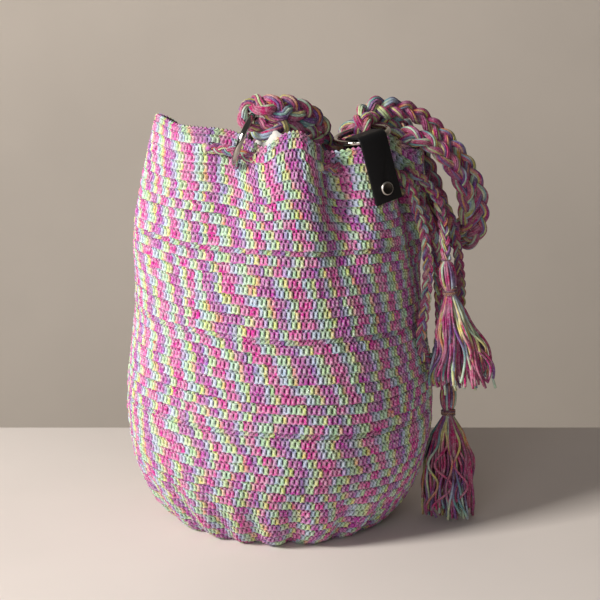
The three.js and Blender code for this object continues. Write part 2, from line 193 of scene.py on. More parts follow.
def add_piece(
    name: str,
    points: np.ndarray,
    faces: list[np.ndarray],
    material: Material,
    body: Body,
    uvs: dict[str, list[np.ndarray]] | None = None,
) -> Object:
    """Makes one smooth mesh piece from its vertices and faces.

    Args:
        name: Name of the piece.
        points: Vertices in millimetres, one row each.
        faces: Arrays of vertex numbers, each array with faces of one size.
        material: Material of the whole piece.
        body: Body that it rides on.
        uvs: Corner coordinates under their names, in arrays that match the faces.

    Returns:
        The new object.
    """
    mesh = bpy.data.meshes.new(name)
    corners = np.concatenate([f.ravel() for f in faces]).astype(np.int32)
    sizes = np.concatenate([np.full(len(f), f.shape[1]) for f in faces])
    mesh.vertices.add(len(points))
    mesh.vertices.foreach_set("co", (points * MM).astype(np.float32).ravel())
    mesh.loops.add(len(corners))
    mesh.loops.foreach_set("vertex_index", corners)
    mesh.polygons.add(len(sizes))
    mesh.polygons.foreach_set("loop_start", (np.cumsum(sizes) - sizes).astype(np.int32))
    for title, parts in (uvs or {}).items():
        corner = np.concatenate([part.reshape(-1, 2) for part in parts])
        mesh.uv_layers.new(name=title).data.foreach_set("uv", corner.astype(np.float32).ravel())
    mesh.update(calc_edges=True)
    mesh.shade_smooth()
    return place_piece(mesh, material, body)


def grid_quads(rows: int, columns: int, closed: bool = False, turned: bool = False) -> tuple[np.ndarray, ...]:
    """Quads of a grid of points whose rows are closed loops.

    Args:
        rows: Number of rows.
        columns: Points in a row.
        closed: Whether the last row joins the first one.
        turned: Whether the faces look the other way.

    Returns:
        Vertex numbers of the quads, and the row and the column of each quad.
    """
    i, j = np.meshgrid(np.arange(rows if closed else rows - 1), np.arange(columns), indexing="ij")
    n, k = (i + 1) % rows, (j + 1) % columns
    corners = ((i, j), (n, j), (n, k), (i, k)) if turned else ((i, j), (i, k), (n, k), (n, j))
    return np.stack([row * columns + column for row, column in corners], -1).reshape(-1, 4), i, j


def corner_pairs(*corners: tuple[np.ndarray, np.ndarray]) -> np.ndarray:
    """Corner coordinates of quads, from the two coordinates of each of their four corners."""
    return np.stack([np.stack(np.broadcast_arrays(*pair), -1) for pair in corners], -2).reshape(-1, 4, 2)


def run_along(line: np.ndarray) -> np.ndarray:
    """Distance along a line at each of its points."""
    return np.concatenate([[0.0], np.cumsum(np.linalg.norm(np.diff(line, axis=0), axis=1))])


def polar(azimuth: np.ndarray, radius: np.ndarray, height: np.ndarray) -> np.ndarray:
    """Points from azimuths in degrees, distances from the axis and heights."""
    a = np.radians(azimuth)
    return np.stack(np.broadcast_arrays(radius * np.sin(a), -radius * np.cos(a), height), axis=-1)


def catmull_rom(route: np.ndarray, per_span: int) -> np.ndarray:
    """Runs a centripetal curve through route points.

    Args:
        route: Route points, one row each.
        per_span: Steps between neighbouring points.

    Returns:
        Points along the curve, the route's ends included.
    """
    ends = np.vstack([2 * route[0] - route[1], route, 2 * route[-1] - route[-2]])
    line = []
    for p0, p1, p2, p3 in zip(ends, ends[1:], ends[2:], ends[3:]):
        t0 = 0.0
        t1 = t0 + math.sqrt(np.linalg.norm(p1 - p0))
        t2 = t1 + math.sqrt(np.linalg.norm(p2 - p1))
        t3 = t2 + math.sqrt(np.linalg.norm(p3 - p2))
        t = np.linspace(t1, t2, per_span, endpoint=False)[:, None]
        a1 = (t1 - t) / (t1 - t0) * p0 + (t - t0) / (t1 - t0) * p1
        a2 = (t2 - t) / (t2 - t1) * p1 + (t - t1) / (t2 - t1) * p2
        a3 = (t3 - t) / (t3 - t2) * p2 + (t - t2) / (t3 - t2) * p3
        b1 = (t2 - t) / (t2 - t0) * a1 + (t - t0) / (t2 - t0) * a2
        b2 = (t3 - t) / (t3 - t1) * a2 + (t - t1) / (t3 - t1) * a3
        line.append((t2 - t) / (t2 - t1) * b1 + (t - t1) / (t2 - t1) * b2)
    return np.vstack([*line, route[-1:]])


def evenly(line: np.ndarray, step: float) -> np.ndarray:
    """Spaces a line's points about a step apart.

    Args:
        line: Points along the line.
        step: Distance between the new points.

    Returns:
        The new points, both ends included.
    """
    run = run_along(line)
    at = np.linspace(0, run[-1], max(4, round(run[-1] / step)) + 1)
    return np.stack([np.interp(at, run, line[:, i]) for i in range(3)], axis=1)


def carried_frame(line: np.ndarray, first: np.ndarray) -> tuple[np.ndarray, np.ndarray]:
    """Carries two side directions along a line without twist.

    Args:
        line: Points along the line.
        first: Wished direction of the first side at the start.

    Returns:
        The two side directions at each point.
    """
    ahead = np.gradient(line, axis=0)
    ahead /= np.linalg.norm(ahead, axis=1)[:, None]
    side = first - ahead[0] * first.dot(ahead[0])
    sides = []
    for direction in ahead:
        side = side - direction * side.dot(direction)
        side = side / np.linalg.norm(side)
        sides.append(side)
    one = np.array(sides)
    return one, np.cross(ahead, one)


@dataclass
class YarnBundle:
    """Yarns laid along lines, gathered into one mesh."""

    cycle: float
    sides: int = 6
    points: list[np.ndarray] = field(default_factory=list)
    quads: list[np.ndarray] = field(default_factory=list)
    quad_uvs: list[np.ndarray] = field(default_factory=list)
    caps: list[np.ndarray] = field(default_factory=list)
    cap_uvs: list[np.ndarray] = field(default_factory=list)
    count: int = 0

    def lay(self, line: np.ndarray, radius: float | np.ndarray, phase: float, stretch: float = 1.0) -> None:
        """Lays one yarn along a line.

        Args:
            line: Points along the yarn's middle.
            radius: Radius of the yarn, or one for each point.
            phase: Place in the dye cycle where the yarn starts.
            stretch: How much faster than its length the yarn runs through the dye cycle.
        """
        n = len(line)
        one, two = carried_frame(line, np.array(YARN_SIDE))
        turn = 2 * np.pi * np.arange(self.sides) / self.sides
        thick = np.broadcast_to(np.asarray(radius, float), (n,))[:, None, None]
        ring = np.cos(turn)[None, :, None] * one[:, None] + np.sin(turn)[None, :, None] * two[:, None]
        self.points.append((line[:, None] + thick * ring).reshape(-1, 3))
        quads, i, j = grid_quads(n, self.sides)
        self.quads.append(self.count + quads)
        u = phase + stretch * run_along(line) / self.cycle
        v = np.arange(self.sides + 1) / self.sides
        uv = corner_pairs((u[i], v[j]), (u[i], v[j + 1]), (u[i + 1], v[j + 1]), (u[i + 1], v[j]))
        self.quad_uvs.append(uv)
        around = np.arange(self.sides)
        self.caps.append(self.count + np.stack([around[::-1], (n - 1) * self.sides + around]))
        self.cap_uvs.append(np.stack([np.full((self.sides, 2), [place, 0.5]) for place in (u[0], u[-1])]))
        self.count += n * self.sides

    def piece(self, name: str, material: Material, body: Body, slot: Slot) -> Object:
        """Makes the mesh piece of all the yarns laid so far.

        Args:
            name: Name of the piece.
            material: Material of the yarns.
            body: Body that it rides on.
            slot: Record slot that its finish belongs to; not used.

        Returns:
            The piece.
        """
        return add_piece(
            name,
            np.vstack(self.points),
            [np.vstack(self.quads), np.vstack(self.caps)],
            material,
            body,
            {"yarn": [np.vstack(self.quad_uvs), np.vstack(self.cap_uvs)]},
        )


@dataclass(frozen=True)
class DyedCotton:
    """Space-dyed cotton yarn, spun and plied: matt, soft-edged, its colour changing along its length."""

    # Length of each colour in crochet stitches, and the colour.
    dye: tuple[tuple[float, str], ...] = (
        (2.6, "#DA5CA6"),
        (0.5, "#BCA0D4"),
        (0.8, "#B8CCE0"),
        (1.2, "#B6DCB6"),
        (0.7, "#CEDC8A"),
        (0.4, "#E59C84"),
        (2.3, "#C25CAE"),
        (0.6, "#A478BE"),
        (0.7, "#BAC8E2"),
        (1.0, "#BCDCAC"),
        (0.5, "#E0D888"),
    )
    blend: float = 0.19
    roughness: float = 0.88
    specular: float = 0.25
    sheen: float = 0.12
    sheen_roughness: float = 0.5
    yarn_per_stitch: float = 58.0
    plies: int = 3
    ply_turn: float = 5.0
    # Widths of the dye's flecks and of its faded places.
    fleck: float = 3.5
    faded: float = 6
    # Loose fibres are finer than a pixel, so they are drawn this wide, in stitches and along a free yarn.
    stitch_fibre: float = 1.9
    yarn_fibre: float = 1.3
    # Turns of the plies across and up a stitch, in radians.
    post_twist: Point = (6.0, 17.0, 0.0)
    # Edges of a chain loop: height over the post in stitches, and its change from there to the gap.
    loop_edges: tuple[tuple[float, float], ...] = ((0.86, -0.12), (0.91, 0.08))

    @property
    def stitches(self) -> float:
        """Stitches in one run through the dye."""
        return sum(share for share, _ in self.dye)

    @property
    def cycle(self) -> float:
        """Millimetres of yarn in one run through the dye."""
        return self.stitches * self.yarn_per_stitch

    def colour(self, tree: NodeTree) -> tuple[NodeSocket, ...]:
        """Adds the nodes that turn a place along the yarn into its colour.

        Args:
            tree: Node tree of the material.

        Returns:
            The colour, the place along the yarn and the second coordinate.
        """
        place = add_node(tree, "UVMap", {}, uv_map="yarn")
        split = add_node(tree, "SeparateXYZ", {0: place})
        along = add_node(tree, "Math", {0: split.outputs[0]}, operation="FRACT")
        ramp = add_node(tree, "ValToRGB", {0: along})
        stops = ramp.color_ramp.elements
        at = 0.0
        marks: list[tuple[float, str]] = []
        for share, colour in self.dye:
            marks.append((at + self.blend, colour))
            at += share
            marks.append((at - self.blend, colour))
        stops[0].position, stops[1].position = 0.0, 1.0
        seam = [0.5 * (a + b) for a, b in zip(linear(self.dye[0][1]), linear(self.dye[-1][1]))]
        stops[0].color, stops[1].color = seam, seam
        for mark, colour in marks:
            stops.new(mark / at).color = linear(colour)
        # Cotton takes dye unevenly: cloudy lighter and darker flecks a few millimetres long.
        spot = add_node(tree, "TexCoord", {})
        cloud = add_node(
            tree, "TexNoise", {"Vector": spot.outputs["Object"], "Scale": 1 / (self.fleck * MM), "Detail": 3.0}
        )
        fleck = add_node(tree, "MapRange", {0: cloud, 1: 0.32, 2: 0.68, 3: 0.78, 4: 1.14})
        wash = add_node(
            tree, "TexNoise", {"Vector": spot.outputs["Object"], "Scale": 1 / (self.faded * MM), "Detail": 2.0}
        )
        faded = add_node(tree, "MapRange", {0: wash, 1: 0.35, 2: 0.65, 3: 0.7, 4: 1.12})
        shade = add_node(tree, "HueSaturation", {"Color": ramp, "Saturation": faded, "Value": fleck})
        return shade.outputs[0], split.outputs[0], split.outputs[1]

    def set_surface(self, shader: Node) -> None:
        """Gives a shader the matt, faintly fuzzy surface of spun cotton.

        Args:
            shader: Shader of the material.
        """
        shader.inputs["Roughness"].default_value = self.roughness
        shader.inputs["Specular IOR Level"].default_value = self.specular
        shader.inputs["Sheen Weight"].default_value = self.sheen
        shader.inputs["Sheen Roughness"].default_value = self.sheen_roughness

    def crocheted(self) -> Material:
        """Cotton yarn worked into stitches, with painted shade in the gaps between the posts, along the edges of the
        chain loops and in the ply grooves.

        Returns:
            The material; its second coordinate is the height of the relief, which sets the painted shade.
        """
        made, tree, shader = new_material("dyed_cotton_crocheted")
        colour, _, relief = self.colour(tree)
        # The plies wind up each post: a slanting groove that returns every few millimetres.
        spot = add_node(tree, "UVMap", {}, uv_map="stitch")
        across = add_node(tree, "VectorMath", {0: spot, 1: self.post_twist}, operation="DOT_PRODUCT")
        groove = add_node(tree, "Math", {0: across.outputs["Value"]}, operation="SINE")
        # Painted shade in the ply grooves: the colour darkens there to four fifths.
        groove_shade = add_node(tree, "MapRange", {0: groove, 1: -1.0, 2: 0.3, 3: 0.8, 4: 1.0})
        # Pale flecks: partly the pale loose fibres, partly painted highlights where they catch the light.
        place = add_node(tree, "TexCoord", {})
        fibre = add_node(
            tree, "TexNoise", {"Vector": place.outputs["Object"], "Scale": 1 / (self.stitch_fibre * MM), "Detail": 1.0}
        )
        fuzz = add_node(tree, "MapRange", {0: fibre, 1: 0.5, 2: 0.6, 3: 0.0, 4: 0.3})
        pale = add_node(tree, "Mix", {0: fuzz, 6: colour, 7: linear("#F4F0F6")}, data_type="RGBA")
        # Painted shade in the gaps between the posts: where the relief is low, the colour darkens nearly to black.
        gap = add_node(tree, "MapRange", {0: relief, 1: 0.12, 2: 0.84, 3: 0.02, 4: 1.06})
        # Each chain loop lies across a gap as a lens: its lower and its upper edge are thin shadows.
        cell = add_node(tree, "SeparateXYZ", {0: spot})
        double = add_node(tree, "Math", {0: cell.outputs[0], 1: 2.0, 2: -1.0}, operation="MULTIPLY_ADD")
        fold = add_node(tree, "Math", {0: double}, operation="ABSOLUTE")
        edges = []
        for middle, bow in self.loop_edges:
            edge = add_node(tree, "Math", {0: fold, 1: bow, 2: middle}, operation="MULTIPLY_ADD")
            off = add_node(tree, "Math", {0: cell.outputs[1], 1: edge}, operation="SUBTRACT")
            edges.append(add_node(tree, "Math", {0: off}, operation="ABSOLUTE"))
        near = add_node(tree, "Math", {0: edges[0], 1: edges[1]}, operation="MINIMUM")
        line = add_node(tree, "MapRange", {0: near, 1: 0.02, 2: 0.08, 3: 0.56, 4: 1.0})
        # The painted shades of the gaps, the loop edges and the ply grooves are multiplied into the colour.
        shaded = add_node(tree, "Math", {0: gap, 1: line}, operation="MULTIPLY")
        depth = add_node(tree, "Math", {0: shaded, 1: groove_shade}, operation="MULTIPLY")
        dark = add_node(tree, "Mix", {0: 1.0, 6: pale.outputs[2], 7: depth}, data_type="RGBA", blend_type="MULTIPLY")
        tree.links.new(dark.outputs[2], shader.inputs["Base Color"])
        twist = add_node(tree, "Bump", {"Height": groove, "Strength": 0.5, "Distance": 0.35 * MM})
        bump = add_node(tree, "Bump", {"Height": fibre, "Strength": 0.6, "Distance": 0.6 * MM, "Normal": twist})
        tree.links.new(bump.outputs[0], shader.inputs["Normal"])
        self.set_surface(shader)
        return made

    def laid(self, name: str) -> Material:
        """Cotton yarn lying free in a braid or a tassel, with the twist of its plies.

        Args:
            name: Name of the material.

        Returns:
            The material; its second coordinate runs round the yarn.
        """
        made, tree, shader = new_material(name)
        colour, along, around = self.colour(tree)
        # Three plies twisted together: a groove returns every third of a turn.
        turns = add_node(tree, "Math", {0: along, 1: self.cycle / self.ply_turn}, operation="MULTIPLY")
        twist = add_node(tree, "Math", {0: turns, 1: around}, operation="ADD")
        phase = add_node(tree, "Math", {0: twist, 1: 2 * self.plies * math.pi}, operation="MULTIPLY")
        groove = add_node(tree, "Math", {0: phase}, operation="SINE")
        shadow = add_node(tree, "MapRange", {0: groove, 1: -1.0, 2: 0.3, 3: 0.4, 4: 1.05})
        dark = add_node(tree, "Mix", {0: 1.0, 6: colour, 7: shadow}, data_type="RGBA", blend_type="MULTIPLY")
        # Fuzz on the yarn pales it here and there.
        place = add_node(tree, "TexCoord", {})
        fibre = add_node(
            tree, "TexNoise", {"Vector": place.outputs["Object"], "Scale": 1 / (self.yarn_fibre * MM), "Detail": 2.0}
        )
        fuzz = add_node(tree, "MapRange", {0: fibre, 1: 0.5, 2: 0.68, 3: 0.0, 4: 0.25})
        pale = add_node(tree, "Mix", {0: fuzz, 6: dark.outputs[2], 7: linear("#E6DFE6")}, data_type="RGBA")
        tree.links.new(pale.outputs[2], shader.inputs["Base Color"])
        ply = add_node(tree, "Bump", {"Height": groove, "Strength": 0.6, "Distance": 0.25 * MM})
        bump = add_node(tree, "Bump", {"Height": fibre, "Strength": 0.5, "Distance": 0.4 * MM, "Normal": ply})
        tree.links.new(bump.outputs[0], shader.inputs["Normal"])
        self.set_surface(shader)
        return made


@dataclass(frozen=True)
class NickelPlate:
    """Nickel-plated steel, bent or pressed and then polished: warm grey mirrors with hairline rubbing."""

    colour: str = "#C6C1BA"
    tarnish: str = "#8A847C"
    roughness: float = 0.07
    # Width of the rubbing, which is finer than a pixel and drawn coarser, and of the clouds of tarnish.
    hairline: float = 0.8
    cloud: float = 9

    def material(self, name: str) -> Material:
        """Makes the plated metal.

        Args:
            name: Name of the material.

        Returns:
            The material.
        """
        made, tree, shader = new_material(name)
        spot = add_node(tree, "TexCoord", {})
        rub = add_node(
            tree, "TexNoise", {"Vector": spot.outputs["Object"], "Scale": 1 / (self.hairline * MM), "Detail": 4.0}
        )
        rough = add_node(
            tree, "MapRange", {0: rub, 1: 0.3, 2: 0.75, 3: self.roughness - 0.03, 4: self.roughness + 0.08}
        )
        tarnish = add_node(
            tree, "TexNoise", {"Vector": spot.outputs["Object"], "Scale": 1 / (self.cloud * MM), "Detail": 3.0}
        )
        tint = add_node(tree, "Mix", {0: tarnish, 6: linear(self.colour), 7: linear(self.tarnish)}, data_type="RGBA")
        tree.links.new(tint.outputs[2], shader.inputs["Base Color"])
        tree.links.new(rough.outputs[0], shader.inputs["Roughness"])
        shader.inputs["Metallic"].default_value = 1.0
        return made


@dataclass(frozen=True)
class BlackLeather:
    """Black full-grain leather, dyed through and rolled: fine pebbles with a low sheen."""

    colour: str = "#080709"
    worn: str = "#1C1A1D"
    roughness: float = 0.58
    # Widths of the grain's pebbles and of the soft creases.
    pebble: float = 0.75
    crease: float = 6

    def material(self) -> Material:
        """Makes the leather.

        Returns:
            The material.
        """
        made, tree, shader = new_material("black_leather")
        spot = add_node(tree, "TexCoord", {})
        grain = add_node(
            tree,
            "TexVoronoi",
            {"Vector": spot.outputs["Object"], "Scale": 1 / (self.pebble * MM), "Randomness": 0.9},
            feature="SMOOTH_F1",
        )
        crease = add_node(
            tree, "TexNoise", {"Vector": spot.outputs["Object"], "Scale": 1 / (self.crease * MM), "Detail": 5.0}
        )
        edge = add_node(tree, "NewGeometry", {})
        rubbed = add_node(tree, "MapRange", {0: edge.outputs["Pointiness"], 1: 0.52, 2: 0.62, 3: 0.0, 4: 0.75})
        cloudy = add_node(tree, "Math", {0: rubbed, 1: crease}, operation="MULTIPLY")
        tint = add_node(tree, "Mix", {0: cloudy, 6: linear(self.colour), 7: linear(self.worn)}, data_type="RGBA")
        rough = add_node(
            tree, "MapRange", {0: crease, 1: 0.3, 2: 0.7, 3: self.roughness - 0.07, 4: self.roughness + 0.1}
        )
        bump = add_node(tree, "Bump", {"Height": grain.outputs["Distance"], "Strength": 0.3, "Distance": 0.15 * MM})
        tree.links.new(tint.outputs[2], shader.inputs["Base Color"])
        tree.links.new(rough.outputs[0], shader.inputs["Roughness"])
        tree.links.new(bump.outputs[0], shader.inputs["Normal"])
        shader.inputs["Specular IOR Level"].default_value = 0.3
        return made


@dataclass(frozen=True)
class PlainCotton:
    """Unbleached plain-woven cotton: pale grey-white, matt, with a fine square weave."""

    colour: str = "#D9D7D2"
    shade: str = "#BDBAB5"
    # Length of the uneven places in the yarn, and thread spacing, which is finer than a pixel and drawn coarser.
    slub: float = 14
    thread: float = 0.9
    roughness: float = 0.92

    def material(self) -> Material:
        """Makes the lining cloth.

        Returns:
            The material; its coordinates are millimetres along and across the cloth.
        """
        made, tree, shader = new_material("plain_woven_cotton")
        place = add_node(tree, "UVMap", {}, uv_map="yarn")
        split = add_node(tree, "SeparateXYZ", {0: place})
        waves = []
        for side in (0, 1):
            turn = add_node(tree, "Math", {0: split.outputs[side], 1: math.pi / self.thread}, operation="MULTIPLY")
            waves.append(add_node(tree, "Math", {0: turn}, operation="SINE"))
        weave = add_node(tree, "Math", {0: waves[0], 1: waves[1]}, operation="MULTIPLY")
        spot = add_node(tree, "TexCoord", {})
        slub = add_node(
            tree, "TexNoise", {"Vector": spot.outputs["Object"], "Scale": 1 / (self.slub * MM), "Detail": 4.0}
        )
        tint = add_node(tree, "Mix", {0: slub, 6: linear(self.colour), 7: linear(self.shade)}, data_type="RGBA")
        bump = add_node(tree, "Bump", {"Height": weave, "Strength": 0.4, "Distance": 0.2 * MM})
        tree.links.new(tint.outputs[2], shader.inputs["Base Color"])
        tree.links.new(bump.outputs[0], shader.inputs["Normal"])
        shader.inputs["Roughness"].default_value = self.roughness
        shader.inputs["Specular IOR Level"].default_value = 0.2
        return made


@dataclass
class Wall:
    """Shape of the gathered bag: plain outline, neck folds, rim waves and base puckers."""

    base_radius: float = 87
    belly_radius: float = 131
    belly_height: float = 105
    waist_radius: float = 117.5
    waist_height: float = 225
    rim_radius: float = 104
    rim_height: float = 343
    thickness: float = 4.2
    # Azimuth, half width in degrees, push outwards.
    neck_folds: Bumps = (
        (-24, 15, -19),
        (27, 9, -25),
        (72, 8.5, -18),
        (90, 12, 16),
        (118, 12, -17),
        (172, 14, -20),
        (222, 12, -18),
        (262, 12, -18),
        (283, 10, 4),
    )
    fold_foot: float = 200
    fold_top: float = 325
    # Azimuth, half width in degrees, lift.
    rim_waves: Bumps = (
        (-101, 10, -9),
        (-78, 18, 6),
        (-12, 14, -9),
        (-7, 5, -5),
        (6, 9, 2),
        (16, 5, -6),
        (28, 10, -17),
        (47, 14, -15),
        (65, 9, -6),
        (86, 10, -26),
        (113, 14, -22),
        (150, 26, -24),
        (195, 30, -22),
        (238, 24, -24),
    )
    wave_foot: float = 250
    # Swells and creases of the slack cloth: azimuth, half width in degrees, push outwards, height, half height.
    swells: tuple[tuple[float, ...], ...] = (
        (-92, 40, 7.5, 258, 66),
        (-92, 30, -5, 350, 22),
        (-66, 5, -6, 12, 34),
        (-44, 5, -8, 14, 36),
        (-27, 4.5, -6, 12, 28),
        (-12, 4, -8, 16, 26),
        (-3, 5, 3, 16, 18),
        (6, 4, -9, 8, 30),
        (17, 5, 2.5, 18, 18),
        (30, 5, -8, 18, 24),
        (47, 5, -6, 14, 24),
    )
    # Puckers at the foot: number, depth, height, how slowly they fade upwards and how unevenly they lie.
    puckers: int = 11
    pucker_depth: float = 2.4
    pucker_height: float = 18
    pucker_fade: float = 2.5
    pucker_sway: float = 1.4
    # How the outline falls from the belly to the base, and how fully it bulges there.
    belly_fall: float = 2.2
    belly_bulge: float = 0.625
    # Points of the outline, crowded towards the base, and the step that measures its slope.
    outline_points: int = 6000
    outline_crowding: float = 2.5
    slope_step: float = 0.6

    def __post_init__(self) -> None:
        """Measures the outline once, so that rounds can be spaced along it."""
        self.heights = self.rim_height * np.linspace(0, 1, self.outline_points) ** self.outline_crowding
        radii = self.plain_radius(self.heights)
        steps = np.hypot(np.diff(radii), np.diff(self.heights))
        self.run = np.concatenate([[0.0], np.cumsum(steps)])
        self.length = float(self.run[-1])

    def bumps(self, entries: Bumps, azimuth: np.ndarray) -> np.ndarray:
        """Adds up rounded bumps round the bag.

        Args:
            entries: Azimuth, half width and height of each bump.
            azimuth: Azimuths in degrees.

        Returns:
            The height at each azimuth.
        """
        total = np.zeros_like(np.asarray(azimuth, float))
        for at, half, height in entries:
            turn = (azimuth - at + 180) % 360 - 180
            total = total + height * np.exp(-((turn / half) ** 2))
        return total

    def plain_radius(self, height: np.ndarray) -> np.ndarray:
        """Finds the outer radius of the ungathered bag.

        Args:
            height: Heights above the table.

        Returns:
            The radius at each height.
        """
        u = np.clip(1 - height / self.belly_height, 0, 1)
        bulge = (1 - u**self.belly_fall) ** self.belly_bulge
        low = self.base_radius + (self.belly_radius - self.base_radius) * bulge
        first = ease((height - self.belly_height) / (self.waist_height - self.belly_height))
        second = ease((height - self.waist_height) / (self.rim_height - self.waist_height))
        high = (
            self.belly_radius
            - (self.belly_radius - self.waist_radius) * first
            - (self.waist_radius - self.rim_radius) * second
        )
        return np.where(height < self.belly_height, low, high)

    def push(self, azimuth: np.ndarray, height: np.ndarray) -> np.ndarray:
        """Finds the outward push of the neck folds, the swells and the base puckers.

        Args:
            azimuth: Azimuths in degrees.
            height: Heights of the ungathered bag.

        Returns:
            The push at each point.
        """
        folds = self.bumps(self.neck_folds, azimuth)
        folds = folds * ease((height - self.fold_foot) / (self.fold_top - self.fold_foot))
        a = np.radians(azimuth)
        band = ease(height / self.pucker_height)
        band = band * (1 - ease((height - self.pucker_height) / (self.pucker_fade * self.pucker_height)))
        wave = 0.5 + 0.5 * np.cos(self.puckers * a + self.pucker_sway * np.sin(2 * a))
        slack = sum(
            self.bumps(((at, half, out),), azimuth) * np.exp(-(((height - middle) / tall) ** 2))
            for at, half, out, middle, tall in self.swells
        )
        return folds + slack - self.pucker_depth * band * wave

    def lift(self, azimuth: np.ndarray, height: np.ndarray) -> np.ndarray:
        """How far the rim waves raise the wall."""
        rise = ease((height - self.wave_foot) / (self.rim_height - self.wave_foot))
        return self.bumps(self.rim_waves, azimuth) * rise

    def at(self, azimuth: np.ndarray, run: np.ndarray, out: np.ndarray) -> np.ndarray:
        """Points of the wall.

        Args:
            azimuth: Azimuths in degrees.
            run: Distances up the outline from the edge of the base.
            out: Distances off the outer face, outwards.

        Returns:
            The points, in millimetres.
        """
        height = np.interp(run, self.run, self.heights)
        before = np.interp(run - self.slope_step, self.run, self.heights)
        after = np.interp(run + self.slope_step, self.run, self.heights)
        rise = after - before
        widen = self.plain_radius(after) - self.plain_radius(before)
        size = np.hypot(rise, widen)
        radius = self.plain_radius(height) + self.push(azimuth, height) + out * rise / size
        up = height + self.lift(azimuth, height) - out * widen / size
        return polar(azimuth, radius, np.maximum(up, 0.0))


def eased_aside(points: np.ndarray, lines: list[tuple[np.ndarray, float]]) -> np.ndarray:
    """Moves cloth aside where a cord or a ring passes through it.

    Args:
        points: Points of the cloth.
        lines: Lines that pass, each with the distance that the cloth keeps from it.

    Returns:
        The moved points.
    """
    moved = points.copy()
    for line, clear in lines:
        low, high = line.min(0) - clear, line.max(0) + clear
        near = np.flatnonzero(np.all((moved >= low) & (moved <= high), axis=1))
        # In parts, which keeps the table of distances small.
        for part in np.array_split(near, max(1, len(near) // EASED_AT_ONCE)):
            gap = moved[part][:, None] - line[None]
            away = np.linalg.norm(gap, axis=2)
            nearest = away.argmin(1)
            row = np.arange(len(part))
            distance = np.maximum(away[row, nearest], 1e-3)
            inside = distance < clear
            shift = gap[row, nearest] / distance[:, None] * (clear - distance)[:, None]
            moved[part[inside]] += shift[inside]
    return moved


